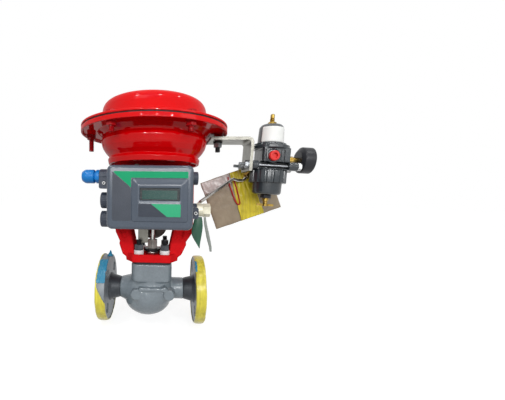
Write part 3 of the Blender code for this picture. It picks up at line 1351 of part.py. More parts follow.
def make_regulator_body():
    """Cast block between two round rims, with bolt lugs, grooves and a plug seat."""
    half = BODY_DEPTH / 2
    body = box("regulator_body", (BODY_LEFT, -half, REG_BODY_BOTTOM), (BODY_RIGHT, half, REG_BODY_TOP + 0.001),
               0.004, 2)
    lug_low, lug_high = LUG_Z - GROOVE_H / 2, LUG_Z + GROOVE_H / 2
    for side in (-1, 1):
        y0, y1 = sorted((side * GROOVE_Y, side * (half + 0.01)))
        cut(body, box("groove", (BODY_LEFT - 0.01, y0, lug_low), (BODY_RIGHT + 0.01, y1, lug_high)))
    rim = rod("rim", RIM_D, (RIM_X, 0, REG_BODY_TOP), (RIM_X, 0, REG_RIM_TOP), ROUND)
    base = rod("base", RIM_D, (RIM_X, 0, REG_BODY_BOTTOM), (RIM_X, 0, lug_low - 0.0008), ROUND)
    web = box("web", (LEG_X + GAP, -GROOVE_Y + 0.001, lug_low - 0.001), (RIGHT_LUG_X - 0.010, GROOVE_Y - 0.001,
                                                                        lug_high), 0.002, 0)
    lugs = []
    for side in (-1, 1):
        y = side * LUG_Y
        lugs.append(rod("left_lug", LUG_D, (LEG_X + GAP, y, LUG_Z), (BODY_LEFT - 0.006, y, LUG_Z)))
        lugs.append(rod("right_lug", LUG_D, (BODY_RIGHT - 0.001, y, LUG_Z), (RIGHT_LUG_X, y, LUG_Z)))
    seat = rod("plug_seat", PLUG_SEAT_D, (RED_PLUG_X, -half - PLUG_SEAT_T, RED_PLUG_Z), (RED_PLUG_X, 0, RED_PLUG_Z),
               MIDDLE_ROUND)
    union(body, rim, base, web, *lugs, seat)
    drills = [rod("hole", THROUGH_BOLT_D + 2 * GAP, (LEG_X - 0.01, side * LUG_Y, LUG_Z),
                  (RIGHT_LUG_X + 0.01, side * LUG_Y, LUG_Z)) for side in (-1, 1)]
    cut(body, *drills)
    return done(body, "air_set_paint", 30)


def ribbed(name, diameter, depth, count, low, high, at_x=0.0):
    """Round collar with a notched rim."""
    outline = []
    for i in range(count):
        for share, cut_in in ((0.0, 0), (0.56, 0), (0.64, 1), (0.92, 1)):
            x, y = spun(360 * (i + share) / count, diameter / 2 - cut_in * depth)
            outline.append((at_x + x, y))
    return slab(name, [outline], high - low, "XY", (low + high) / 2)


def make_regulator_bonnet():
    """Ribbed collar and a cup over the range spring, open for the adjusting screw."""
    low, top = REG_BONNET_Z, REG_BONNET_TOP
    r, tip = REG_BONNET_D / 2, REG_BONNET_TOP_D / 2
    bonnet = ribbed("regulator_bonnet", BONNET_COLLAR_D, 0.0016, RIB_COUNT, low, low + BONNET_COLLAR_H)
    profile = [(0, top), (tip - 0.009, top), (tip - 0.003, top - 0.0022), (tip, top - 0.007), (r, low + 0.001),
               (0, low + 0.001)]
    union(bonnet, lathe("cup", profile, steps=MIDDLE_ROUND))
    hollow = lathe("hollow", [(0, top - REG_WALL), (tip - 0.008, top - REG_WALL), (tip - REG_WALL, top - 0.009),
                              (r - REG_WALL, low - 0.01), (0, low - 0.01)], steps=MIDDLE_ROUND)
    bore = rod("bore", ADJUST_D + 2 * GAP, (0, 0, low - 0.01), (0, 0, top + 0.01))
    cut(bonnet, hollow, bore)
    return done(bonnet, "air_set_paint")


def make_bowl_ring():
    collar = ribbed("bowl_ring", RING_D, 0.0024, RING_TEETH, RING_BOTTOM, RING_TOP)
    cut(collar, rod("bore", BOWL_CUP_D + 2 * GAP, (0, 0, RING_BOTTOM - 0.01), (0, 0, RING_TOP + 0.01), ROUND))
    return done(collar, "air_set_paint")


def make_regulator_bowl():
    r, wall, bottom = BOWL_CUP_D / 2, BOWL_CUP_WALL, CUP_BOTTOM
    top = RING_TOP - GAP
    drain = DRAIN_D / 2 - 0.001
    low_arc = [(r - BOWL_CUP_ROUND + BOWL_CUP_ROUND * math.cos(a), bottom + BOWL_CUP_ROUND - BOWL_CUP_ROUND * math.sin(a))
               for a in np.radians([0, 30, 60, 90])]
    profile = [(r - wall, top), (r, top), *low_arc, (drain, bottom), (drain, bottom + wall),
               (r - BOWL_CUP_ROUND, bottom + wall), (r - wall, bottom + BOWL_CUP_ROUND + 0.001)]
    return done(lathe("regulator_bowl", profile, steps=ROUND, closed=True), "air_set_paint")


def make_adjusting_screw():
    """Square-headed screw that presses the range spring."""
    top = REG_BONNET_TOP + ADJUST_STICKOUT
    r = ADJUST_D / 2
    low = REG_BONNET_TOP - ADJUST_DEPTH
    screw = lathe("adjusting_screw", [(0, top), (r - 0.0014, top), (r - 0.0004, top - 0.0012),
                                      (r - 0.0004, top - 0.006), (r - 0.0016, top - 0.007),
                                      (r - 0.0016, top - 0.0085), (r, top - 0.0095), (r, low + 0.003),
                                      (0.010, low + 0.003), (0.010, low), (0, low)], steps=SMALL_ROUND)
    cut(screw, box("slot", (-0.0007, -r, top - 0.0025), (0.0007, r, top + 0.001)))
    return done(screw, "brass", 30)


def make_adjusting_locknut():
    low = REG_BONNET_TOP + GAP
    return done(hexagon("adjusting_locknut", LOCKNUT_AF, (0, 0, low), (0, 0, low + LOCKNUT_H), ADJUST_D + 2 * GAP),
                "brass", 25)


def make_range_spring():
    low, high = REG_RIM_TOP + GAP, REG_BONNET_TOP - ADJUST_DEPTH - GAP
    spring = coil("range_spring", RANGE_SPRING_D, RANGE_SPRING_WIRE_D, RANGE_SPRING_TURNS, low, high, (0, 0), 10)
    return done(spring, "spring_steel")


def make_red_plug():
    face = RED_PLUG_L
    r = RED_PLUG_D / 2
    profile = [(0, 0.4 * face), (0.55 * r, 0.4 * face), (0.55 * r, face), (r - 0.0012, face), (r, face - 0.0012),
               (r, GAP), (0, GAP)]
    at = (RED_PLUG_X, -BODY_DEPTH / 2 - PLUG_SEAT_T, RED_PLUG_Z)
    return done(lathe("red_plug", profile, at, (0, -1, 0), MIDDLE_ROUND), "red_plastic")


def make_pressure_gauge():
    """Brass stem with flats, and a round case with a bevelled back and a sunk dial."""
    r, back = GAUGE_D / 2, GAUGE_BACK_D / 2
    face = GAUGE_L
    profile = [(0, face - DIAL_DEPTH), (r - GAUGE_BEZEL, face - DIAL_DEPTH), (r - GAUGE_BEZEL, face),
               (r - 0.0008, face), (r, face - 0.0012), (r, 0.005), (back, 0), (0, 0)]
    case = lathe("case", profile, (GAUGE_X, GAUGE_Y, GAUGE_Z), (1, 0, 0), ROUND)
    x0, x1 = BODY_RIGHT + GAP, GAUGE_X + 0.002
    stem = rod("stem", GAUGE_STEM_D, (x0, GAUGE_Y, GAUGE_Z), (x1, GAUGE_Y, GAUGE_Z), BOLT_ROUND)
    flats = hexagon("flats", 1.15 * GAUGE_STEM_D, (x0 + 0.008, GAUGE_Y, GAUGE_Z), (x0 + 0.018, GAUGE_Y, GAUGE_Z))
    return done(fused("pressure_gauge", case, stem, flats), "black_plastic", 25)


def pointer_pivot():
    return Vector((GAUGE_X + GAUGE_L - DIAL_DEPTH, GAUGE_Y, GAUGE_Z))


def make_gauge_pointer():
    """Pointer with its hub, at the zero of a 270 degree scale."""
    y0 = pointer_pivot()
    zero = math.radians(225)
    out = Vector((0, math.cos(zero), math.sin(zero)))
    side = Vector((0, -out.z, out.y))
    x0, x1 = y0.x + GAP + 0.0012, y0.x + GAP + 0.0018
    flat = [y0 + out * POINTER_L, y0 - out * 0.3 * POINTER_L + side * 0.0012, y0 - out * 0.3 * POINTER_L - side * 0.0012]
    bm = bmesh.new()
    verts = [bm.verts.new((x0, p.y, p.z)) for p in flat]
    face = bm.faces.new(verts)
    extruded = bmesh.ops.extrude_face_region(bm, geom=[face])["geom"]
    moved = [v for v in extruded if isinstance(v, bmesh.types.BMVert)]
    bmesh.ops.translate(bm, vec=(x1 - x0, 0, 0), verts=moved)
    needle = bake(from_bmesh("gauge_pointer", bm))
    hub = rod("hub", 0.005, (y0.x + GAP, y0.y, y0.z), (y0.x + GAP + 0.0026, y0.y, y0.z), BOLT_ROUND)
    union(needle, hub)
    set_origin(needle, pointer_pivot())
    return done(needle, "black_plastic")


def make_drain_collar():
    collar = ring("drain_collar", DRAIN_COLLAR_D, DRAIN_D - 0.002, COLLAR_TOP - DRAIN_COLLAR_H, COLLAR_TOP, steps=MIDDLE_ROUND)
    return done(collar, "black_plastic")


def make_drain_cock():
    """Brass drain with a pair of wings to turn it by."""
    r, top = DRAIN_D / 2, DRAIN_TOP
    low = top - DRAIN_L
    neck = r - 0.001 - GAP
    profile = [(0, top + 0.004), (neck, top + 0.004), (neck, top), (r, top), (r, top - 0.0045), (r - 0.0014, top - 0.006),
               (r - 0.0014, top - 0.010), (r - 0.0006, top - 0.011), (r - 0.0006, low), (0, low)]
    cock = lathe("drain_cock", profile, steps=SMALL_ROUND)
    wings = [box("wing", (x0, -0.0011, low + 0.0005), (x1, 0.0011, low + 0.0045), 0.0015, 1)
             for x0, x1 in ((-WING_REACH, -r + 0.002), (r - 0.002, WING_REACH))]
    return done(union(cock, *wings), "brass", 30)


def make_through_bolt(name, side):
    """Long bolt that holds the air set to the bracket's leg, with its washer and nut."""
    left_face, right_face = LEG_X - LEG_T - GAP, RIGHT_LUG_X + GAP
    y = side * LUG_Y
    bolt = rod("bolt", THROUGH_BOLT_D, (THROUGH_BOLT_LEFT, y, LUG_Z), (right_face + 0.001, y, LUG_Z), BOLT_ROUND)
    head = hexagon("head", THROUGH_NUT_AF, (right_face, y, LUG_Z), (right_face + THROUGH_NUT_H, y, LUG_Z))
    nut_x = left_face - 0.0012
    washer = rod("washer", 1.2 * THROUGH_NUT_AF, (nut_x - 0.0001, y, LUG_Z), (left_face, y, LUG_Z), BOLT_ROUND)
    nut = hexagon("nut", THROUGH_NUT_AF, (nut_x - THROUGH_NUT_H, y, LUG_Z), (nut_x, y, LUG_Z))
    return done(fused(name, bolt, head, washer, nut), "stainless", 25)


def elbow_corner():
    return Vector((ELBOW_X, BODY_DEPTH / 2 + ELBOW_OUT, ELBOW_Z))


def elbow_direction():
    return Vector((-0.55, 0.0, -0.835)).normalized()


def make_outlet_elbow():
    """Brass elbow from the rear port, with its nut pointing down towards the positioner."""
    corner, out = elbow_corner(), elbow_direction()
    start = Vector((ELBOW_X, BODY_DEPTH / 2 + GAP, ELBOW_Z))
    elbow = rod("outlet_elbow", ELBOW_D, start, corner + Vector((0, 0.35 * ELBOW_D, 0)), BOLT_ROUND)
    arm = rod("arm", ELBOW_D - 0.001, corner - out * 0.003, corner + out * 0.016, BOLT_ROUND)
    nut = hexagon("nut", ELBOW_NUT_AF, corner + out * 0.013, corner + out * 0.026)
    return done(union(elbow, arm, nut), "brass", 25)


def tube_route():
    """World points of the steel tube, from the banjo's spigot to the elbow's nut."""
    centre, out = banjo_centre(), banjo_direction()
    start = centre + out * (0.0165 + GAP)
    place = air_set_matrix()
    end_out = place.to_3x3() @ elbow_direction()
    end = place @ (elbow_corner() + elbow_direction() * (0.026 + GAP))
    reach = Vector((end.x - 0.031, end.y - 0.010, end.z - 0.0055))
    near = start + out * 0.009 + Vector((0.0035, 0, 0))
    middle = near.lerp(reach, 0.5)
    return [start, start + out * 0.004, near, near.lerp(reach, 0.12), middle, near.lerp(reach, 0.9), reach,
            Vector((end.x - 0.0135, end.y - 0.0035, end.z - 0.0085)), end + end_out * 0.005, end]


def make_supply_tube():
    route = tube_route()
    points = smooth_path(route, 2.0 * TUBE_D)
    square = 0.25 * TUBE_D
    first, last = (Vector(route[1]) - Vector(route[0])), (Vector(route[-2]) - Vector(route[-1]))
    points.insert(1, tuple(Vector(route[0]) + first.normalized() * square))
    points.insert(-1, tuple(Vector(route[-1]) + last.normalized() * square))
    tube = swept("supply_tube", points, [TUBE_D / 2] * len(points), 3)
    return done(tube, "stainless", 60)


# Loose pieces

def bag_matrix():
    return Matrix.Translation(BAG_AT) @ Matrix.Rotation(-BAG_TILT, 4, "Y")


def place_mesh(obj, matrix):
    obj.data.transform(matrix)
    return obj


def make_document_bag():
    half_l, half_h, half_t = BAG_L / 2, BAG_H / 2, BAG_T / 2
    bag = box("document_bag", (-half_l, -half_t, -half_h), (half_l, half_t, half_h), 0.004, 1, 0.0012)
    return done(place_mesh(bag, bag_matrix()), "kraft_paper")


def tag_hinge(offset):
    """Point under the banjo ring that a tag hangs from."""
    return Vector((banjo_centre().x + offset, SUPPLY_Y, TAG_Z))


def make_tag(name, hinge, shares, width, length, material):
    """Hanging tag whose outline is given in shares of its width and its length."""
    outline = [(hinge.x + u * width, hinge.z - v * length) for u, v in shares]
    tag = slab(name, [outline], TAG_T, "XZ", SUPPLY_Y)
    set_origin(tag, hinge)
    return done(tag, material)


def make_green_tag():
    shares = [(-0.28, 0), (0.33, 0), (0.44, 0.2), (0.33, 0.62), (0.195, 1), (-0.205, 0.75), (-0.56, 0.52),
              (-0.44, 0.26)]
    return make_tag("green_tag", tag_hinge(-0.0024), shares, GREEN_TAG_W, GREEN_TAG_L, "green_film")


def make_white_strap():
    hinge = tag_hinge(0.0091)
    half = STRAP_W / 2 / STRAP_REACH
    shares = [(-half, 0), (half, 0), (0.29, 0.2), (0.48, 0.45), (0.81, 0.87), (0.87, 1), (0.58, 0.97), (0.29, 0.81),
              (0.13, 0.44)]
    return make_tag("white_strap", hinge, shares, STRAP_REACH, STRAP_L, "white_film")


def place_name(x, y):
    """Name of a corner, or of a side where y is nil, seen from the front."""
    side = "right" if x > 0 else "left"
    if abs(y) < 1e-6:
        return side
    return ("rear_" if y > 0 else "front_") + side


def build_valve():
    make_valve_body()
    make_flange("inlet_flange", -1)
    make_flange("outlet_flange", 1)
    make_seat_ring()
    make_valve_plug()
    make_bonnet()
    make_packing_set()
    make_packing_follower()
    make_packing_nut()
    for x, y in stud_places():
        make_body_stud("body_stud_" + place_name(x, y), x, y)


def build_actuator():
    make_yoke()
    make_lower_casing()
    make_upper_casing()
    make_diaphragm()
    make_diaphragm_plate()
    make_spring_pack()
    make_actuator_stem()
    make_stem_bushing()
    make_stem_connector()
    make_anti_rotation_plate()
    make_feedback_plate()
    for x, y in casing_bolt_places():
        make_casing_bolt("casing_bolt_" + place_name(x, y), x, y)


def build_positioner():
    make_positioner_housing()
    make_positioner_cover()
    make_display_window()
    make_module_base()
    make_cable_gland()
    make_conduit_plug("upper_conduit_plug", SIDE_PLUG_ZS[0])
    make_conduit_plug("lower_conduit_plug", SIDE_PLUG_ZS[1])
    make_vent_plug()
    make_positioner_bracket()
    make_supply_fitting()


def build_air_set():
    pieces = [make_regulator_body(), make_regulator_bonnet(), make_bowl_ring(), make_regulator_bowl(),
              make_adjusting_screw(), make_adjusting_locknut(), make_range_spring(), make_red_plug(),
              make_pressure_gauge(), make_gauge_pointer(), make_drain_collar(), make_drain_cock(),
              make_through_bolt("through_bolt_front", -1), make_through_bolt("through_bolt_rear", 1),
              make_outlet_elbow()]
    frame = make_air_set_frame()
    for piece in pieces:
        piece.parent = frame
    make_regulator_bracket()
    make_supply_tube()


def build_loose_pieces():
    make_document_bag()
    make_green_tag()
    make_white_strap()


build_valve()
build_actuator()
build_positioner()
build_air_set()
build_loose_pieces()
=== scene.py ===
"""Looks of a pneumatic control valve with a digital positioner and an air set.

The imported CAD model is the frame: metres, +Z up along the stem, +X towards the outlet, -Y the front.
Round pieces, castings and soft pieces are built again here in fine meshes over the CAD solids.
"""

import logging
import math
from collections.abc import Callable, Iterable
from dataclasses import dataclass, field
from enum import Enum

import bmesh
import bpy
import numpy as np
from bpy.types import ID, Material, Mesh, Node, NodeSocket, NodeTree, Object
from mathutils import Matrix, Vector, noise


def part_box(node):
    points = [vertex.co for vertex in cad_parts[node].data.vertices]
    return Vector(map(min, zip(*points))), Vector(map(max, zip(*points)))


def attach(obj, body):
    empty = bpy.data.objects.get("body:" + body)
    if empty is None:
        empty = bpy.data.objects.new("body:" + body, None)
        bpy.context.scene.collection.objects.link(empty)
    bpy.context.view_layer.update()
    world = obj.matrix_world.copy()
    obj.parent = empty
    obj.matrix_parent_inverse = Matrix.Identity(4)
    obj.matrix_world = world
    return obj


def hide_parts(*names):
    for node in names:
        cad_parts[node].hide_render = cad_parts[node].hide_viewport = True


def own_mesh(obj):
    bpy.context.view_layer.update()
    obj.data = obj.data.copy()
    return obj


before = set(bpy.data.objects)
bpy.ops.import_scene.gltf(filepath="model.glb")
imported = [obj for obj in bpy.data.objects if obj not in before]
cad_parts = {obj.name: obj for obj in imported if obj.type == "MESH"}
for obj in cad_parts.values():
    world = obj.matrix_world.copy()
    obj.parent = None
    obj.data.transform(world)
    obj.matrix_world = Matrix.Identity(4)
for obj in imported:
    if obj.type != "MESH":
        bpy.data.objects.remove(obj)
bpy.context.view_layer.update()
LOG = logging.getLogger("control_valve")
GAP = 0.0003
SOFT_SHINE = 0.3


class Body(Enum):
    """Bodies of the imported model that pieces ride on."""

    VALVE = "valve_assembly"
    TRAVEL = "travel_group"
    SCREW = "pressure_screw"
    DRAIN = "drain"
    POINTER = "pointer"
    GREEN_TAG = "green_tag_body"
    STRAP = "white_strap_body"


class Grain(Enum):
    """Direction in which a metal was rolled, drawn or turned, as stretches along X, Y and Z."""

    ALONG_X = (0.04, 1.0, 1.0)
    ALONG_Y = (1.0, 0.04, 1.0)
    ALONG_Z = (1.0, 1.0, 0.04)
    EVEN = (1.0, 1.0, 1.0)


# Materials


def linear(code: str) -> tuple[float, float, float, float]:
    """Turn an sRGB hex colour to linear.

    Args:
        code: Six hex digits.

    Returns:
        Red, green, blue and an alpha of one.
    """
    values = [int(code[i:i + 2], 16) / 255 for i in (0, 2, 4)]
    red, green, blue = (v / 12.92 if v <= 0.04045 else ((v + 0.055) / 1.055) ** 2.4 for v in values)
    return red, green, blue, 1.0


NOISE, RANGE, SHADER = "ShaderNodeTexNoise", "ShaderNodeMapRange", "Principled BSDF"


def connect(tree: NodeTree, node: Node, inputs: dict) -> None:
    """Give inputs of a node their values or links.

    Args:
        tree: Node tree of the material.
        node: The node.
        inputs: Values or output sockets, by the input's name or index.
    """
    for key, value in inputs.items():
        if isinstance(value, NodeSocket):
            tree.links.new(value, node.inputs[key])
        else:
            node.inputs[key].default_value = value


def set_shader(tree: NodeTree, inputs: dict) -> None:
    """Give inputs of the material's shader their values or links."""
    connect(tree, tree.nodes[SHADER], inputs)


def add_node(tree: NodeTree, kind: str, inputs: dict | None = None, out: int | str = 0,
             **settings: object) -> NodeSocket:
    """Add a node with its settings and links.

    Args:
        tree: Node tree of the material.
        kind: Blender's name of the node type.
        inputs: Values or output sockets for the inputs, by name or index.
        out: Output that is wanted, by name or index.
        settings: Attributes of the node.

    Returns:
        That output of the new node.
    """
    node = tree.nodes.new(kind)
    for key, value in settings.items():
        setattr(node, key, value)
    connect(tree, node, inputs or {})
    return node.outputs[out]


def tinted(tree: NodeTree, share: NodeSocket, first: str | NodeSocket,
           second: str) -> NodeSocket:
    """Mix two colours by a pattern.

    Args:
        tree: Node tree of the material.
        share: Pattern from nought to one.
        first: Hex colour or a mixed colour at nought.
        second: Hex colour at one.

    Returns:
        The mixed colour.
    """
    below = linear(first) if isinstance(first, str) else first
    return add_node(tree, "ShaderNodeMix", {0: share, 6: below, 7: linear(second)}, 2, data_type="RGBA")


@dataclass(frozen=True)
class Finish:
    """What a surface is made of. Each kind of finish writes its own nodes.

    Its base colour, roughness and bump come from patterns whose sizes are in millimetres.
    """

    name: str
    colour: str
    roughness: float
    slot: str | None = None

    def material(self) -> Material:
        """Return the material, written on first use.

        Returns:
            The material.
        """
        made = bpy.data.materials.get(self.name)
        if made:
            return made
        made = bpy.data.materials.new(self.name)
        made.use_nodes = True
        made.diffuse_color = linear(self.colour)
        tree = made.node_tree
        set_shader(tree, {"Roughness": self.roughness, "Specular IOR Level": SOFT_SHINE})
        place = add_node(tree, "ShaderNodeTexCoord", out="Object")
        mm = add_node(tree, "ShaderNodeVectorMath", {0: place, 3: 1000.0}, operation="SCALE")
        self.write(tree, mm)
        return made

    def write(self, tree: NodeTree, mm: NodeSocket) -> None:
        """Write the nodes of this finish.

        Args:
            tree: Node tree of the material.
            mm: Coordinates on the piece in millimetres.
        """
        set_shader(tree, {"Base Color": linear(self.colour)})

    def dull(self, tree: NodeTree, pattern: NodeSocket, change: tuple[float, float],
             at: tuple[float, float] = (0.3, 0.7)) -> None:
        """Let a pattern vary the roughness.

        Args:
            tree: Node tree of the material.
            pattern: The pattern.
            change: What is added to the roughness at the two levels.
            at: Two levels of the pattern.
        """
        spread = {"Value": pattern, "From Min": at[0], "From Max": at[1], "To Min": self.roughness + change[0],
                  "To Max": self.roughness + change[1]}
        set_shader(tree, {"Roughness": add_node(tree, RANGE, spread)})


def raise_surface(tree: NodeTree, pattern: NodeSocket, depth_mm: float, strength: float) -> None:
    """Turn a pattern into relief, over any relief that is there already.

    Args:
        tree: Node tree of the material.
        pattern: The pattern.
        depth_mm: Depth of the relief.
        strength: Share of it that shows.
    """
    inputs = {"Height": pattern, "Strength": strength, "Distance": depth_mm / 1000}
    below = tree.nodes[SHADER].inputs["Normal"].links
    if below:
        inputs["Normal"] = below[0].from_socket
    set_shader(tree, {"Normal": add_node(tree, "ShaderNodeBump", inputs)})


@dataclass(frozen=True)
class SprayedEnamel(Finish):
    """Enamel sprayed on pressed steel: glossy, clouded by its thickness and rippled like orange peel."""

    shade: str = "A80F16"
    peel_mm: float = 3.0
    peel_depth_mm: float = 0.012
    cloud_mm: float = 70.0
    speck_mm: float = 1 / 0.35
    coat: float = 0.36

    def write(self, tree: NodeTree, mm: NodeSocket) -> None:
        """Cloud the colour and ripple the gloss.

        Args:
            tree: Node tree of the material.
            mm: Coordinates on the piece in millimetres.
        """
        cloud = add_node(tree, NOISE, {"Vector": mm, "Scale": 1 / self.cloud_mm, "Detail": 3.0})
        speck = add_node(tree, NOISE, {"Vector": mm, "Scale": 1 / self.speck_mm, "Detail": 5.0, "Roughness": 0.7})
        peel = add_node(tree, NOISE, {"Vector": mm, "Scale": 1 / self.peel_mm, "Detail": 1.0})
        set_shader(tree, {"Base Color": tinted(tree, cloud, self.colour, self.shade), "Specular IOR Level": 0.0,
                          "Coat Weight": self.coat, "Coat Roughness": 0.03})
        self.dull(tree, speck, (-0.04, 0.14), (0.35, 0.8))
        raise_surface(tree, peel, self.peel_depth_mm, 0.6)


@dataclass(frozen=True)
class PaintedCasting(Finish):
    """Paint over sand-cast iron or steel: the sand's grain and soft lumps show through, dirt in the low places."""

    shade: str = "6B7479"
    dirt: str = "4A4F52"
    grain_mm: float = 1.6
    grain_depth_mm: float = 0.16
    lump_mm: float = 9.0
    lump_depth_mm: float = 0.35
    shine: float = 0.35

    def write(self, tree: NodeTree, mm: NodeSocket) -> None:
        """Layer lumps, sand grain and pits into colour, roughness and bump.

        Args:
            tree: Node tree of the material.
            mm: Coordinates on the piece in millimetres.
        """
        lumps = add_node(tree, NOISE, {"Vector": mm, "Scale": 1 / self.lump_mm, "Detail": 3.0})
        grain = add_node(tree, NOISE, {"Vector": mm, "Scale": 1 / self.grain_mm, "Detail": 4.0, "Roughness": 0.65})
        pits = add_node(tree, RANGE, {"Value": grain, "From Min": 0.42, "From Max": 0.28, "To Max": 0.7})
        paint = tinted(tree, lumps, self.shade, self.colour)
        set_shader(tree, {"Base Color": tinted(tree, pits, paint, self.dirt), "Specular IOR Level": self.shine})
        self.dull(tree, grain, (0.12, -0.08))
        raise_surface(tree, lumps, self.lump_depth_mm, 0.8)
        raise_surface(tree, grain, self.grain_depth_mm, 0.8)


@dataclass(frozen=True)
class WorkedMetal(Finish):
    """Bare metal, rolled, drawn or turned: streaks run along its grain and a tarnish clouds it."""

    tarnish: str = "7F7B73"
    grain: Grain = Grain.EVEN
    grain_mm: float = 0.7
    depth_mm: float = 0.02
    cloud_mm: float = 14.0
    metallic: float = 1.0

    def write(self, tree: NodeTree, mm: NodeSocket) -> None:
        """Draw streaks along the grain into roughness and bump, and a cloud of tarnish into the colour.

        Args:
            tree: Node tree of the material.
            mm: Coordinates on the piece in millimetres.
        """
        along = add_node(tree, "ShaderNodeMapping", {"Vector": mm, "Scale": self.grain.value})
        streak = add_node(tree, NOISE, {"Vector": along, "Scale": 1 / self.grain_mm, "Detail": 3.0, "Roughness": 0.6})
        cloud = add_node(tree, NOISE, {"Vector": mm, "Scale": 1 / self.cloud_mm, "Detail": 4.0})
        share = add_node(tree, RANGE, {"Value": cloud, "From Min": 0.35, "From Max": 0.75})
        set_shader(tree, {"Base Color": tinted(tree, share, self.colour, self.tarnish),
                          "Metallic": self.metallic, "Specular IOR Level": 0.5})
        self.dull(tree, streak, (-0.07, 0.12))
        raise_surface(tree, streak, self.depth_mm, 0.7)


@dataclass(frozen=True)
class MouldedPlastic(Finish):
    """Plastic moulded in a spark-eroded tool: an even fine pebble and a soft gloss."""

    shine: float = 0.3
    shade: str = "202024"
    pebble_mm: float = 0.8
    pebble_depth_mm: float = 0.03
    cloud_mm: float = 25.0

    def write(self, tree: NodeTree, mm: NodeSocket) -> None:
        """Give the colour a slight cloud and the surface its pebble.

        Args:
            tree: Node tree of the material.
            mm: Coordinates on the piece in millimetres.
        """
        cloud = add_node(tree, NOISE, {"Vector": mm, "Scale": 1 / self.cloud_mm, "Detail": 3.0})
        pebble = add_node(tree, NOISE, {"Vector": mm, "Scale": 1 / self.pebble_mm, "Detail": 2.0})
        set_shader(tree, {"Base Color": tinted(tree, cloud, self.colour, self.shade),
                          "Specular IOR Level": self.shine})
        self.dull(tree, pebble, (-0.05, 0.08))
        raise_surface(tree, pebble, self.pebble_depth_mm, 0.6)


@dataclass(frozen=True)
class StretchedFilm(Finish):
    """Adhesive or packing film pulled tight by hand: fine creases across the pull with painted shade in their low
    places, smears of dirt, a plastic shine.
    """

    shade: str = "C9B02C"
    dirt: str = "8A7A30"
    grain: Grain = Grain.EVEN
    crease_mm: float = 3.0
    crease_depth_mm: float = 0.12
    cloud_mm: float = 16.0

    def write(self, tree: NodeTree, mm: NodeSocket) -> None:
        """Crease the film with painted shade in the creases, and let the dirt show in patches.

        Args:
            tree: Node tree of the material.
            mm: Coordinates on the piece in millimetres.
        """
        along = add_node(tree, "ShaderNodeMapping", {"Vector": mm, "Scale": self.grain.value})
        crease = add_node(tree, NOISE, {"Vector": along, "Scale": 1 / self.crease_mm, "Detail": 3.0,
                                        "Distortion": 0.6})
        cloud = add_node(tree, NOISE, {"Vector": mm, "Scale": 1 / self.cloud_mm, "Detail": 5.0, "Roughness": 0.65})
        smear = add_node(tree, RANGE, {"Value": cloud, "From Min": 0.62, "From Max": 0.8, "To Max": 0.55})
        # The shade colour goes where the creases are low: painted shade in the creases
        film = tinted(tree, crease, self.shade, self.colour)
        set_shader(tree, {"Base Color": tinted(tree, smear, film, self.dirt), "Coat Weight": 0.3,
                          "Coat Roughness": 0.2})
        raise_surface(tree, crease, self.crease_depth_mm, 0.8)


@dataclass(frozen=True)
class BaggedPaper(Finish):
    """Brown paper seen through a thin polyethylene bag: fibres and stains below, creases and shine above."""

    shade: str = "84735F"
    stain: str = "6B5A49"
    fibre_mm: float = 0.9
    cloud_mm: float = 22.0
    crease_mm: float = 11.0
    crease_depth_mm: float = 0.3

    def write(self, tree: NodeTree, mm: NodeSocket) -> None:
        """Lay fibres and stains in the colour and creases in the surface.

        Args:
            tree: Node tree of the material.
            mm: Coordinates on the piece in millimetres.
        """
        fibre = add_node(tree, NOISE, {"Vector": mm, "Scale": 1 / self.fibre_mm, "Detail": 5.0, "Roughness": 0.7})
        cloud = add_node(tree, NOISE, {"Vector": mm, "Scale": 1 / self.cloud_mm, "Detail": 4.0})
        speck = add_node(tree, RANGE, {"Value": fibre, "From Min": 0.6, "From Max": 0.75, "To Max": 0.5})
        crease = add_node(tree, "ShaderNodeTexVoronoi", {"Vector": mm, "Scale": 1 / self.crease_mm},
                          feature="DISTANCE_TO_EDGE")
        fold = add_node(tree, RANGE, {"Value": crease.node.outputs["Distance"], "From Max": 0.12})
        paper = tinted(tree, cloud, self.shade, self.colour)
        set_shader(tree, {"Base Color": tinted(tree, speck, paper, self.stain), "Coat Weight": 0.5,
                          "Coat Roughness": 0.18})
        raise_surface(tree, fold, self.crease_depth_mm, 0.5)


@dataclass(frozen=True)
class ClearPlastic(Finish):
    """Clear plastic, cast or blown thin: only its own shine and a slight tint show."""

    shade: str = "8A9693"
    cloud_mm: float = 12.5
    alpha: float = 0.05

    def write(self, tree: NodeTree, mm: NodeSocket) -> None:
        """Cloud the tint a little and let most light through."""
        cloud = add_node(tree, NOISE, {"Vector": mm, "Scale": 1 / self.cloud_mm, "Detail": 3.0})
        set_shader(tree, {"Base Color": tinted(tree, cloud, self.colour, self.shade), "Alpha": self.alpha})


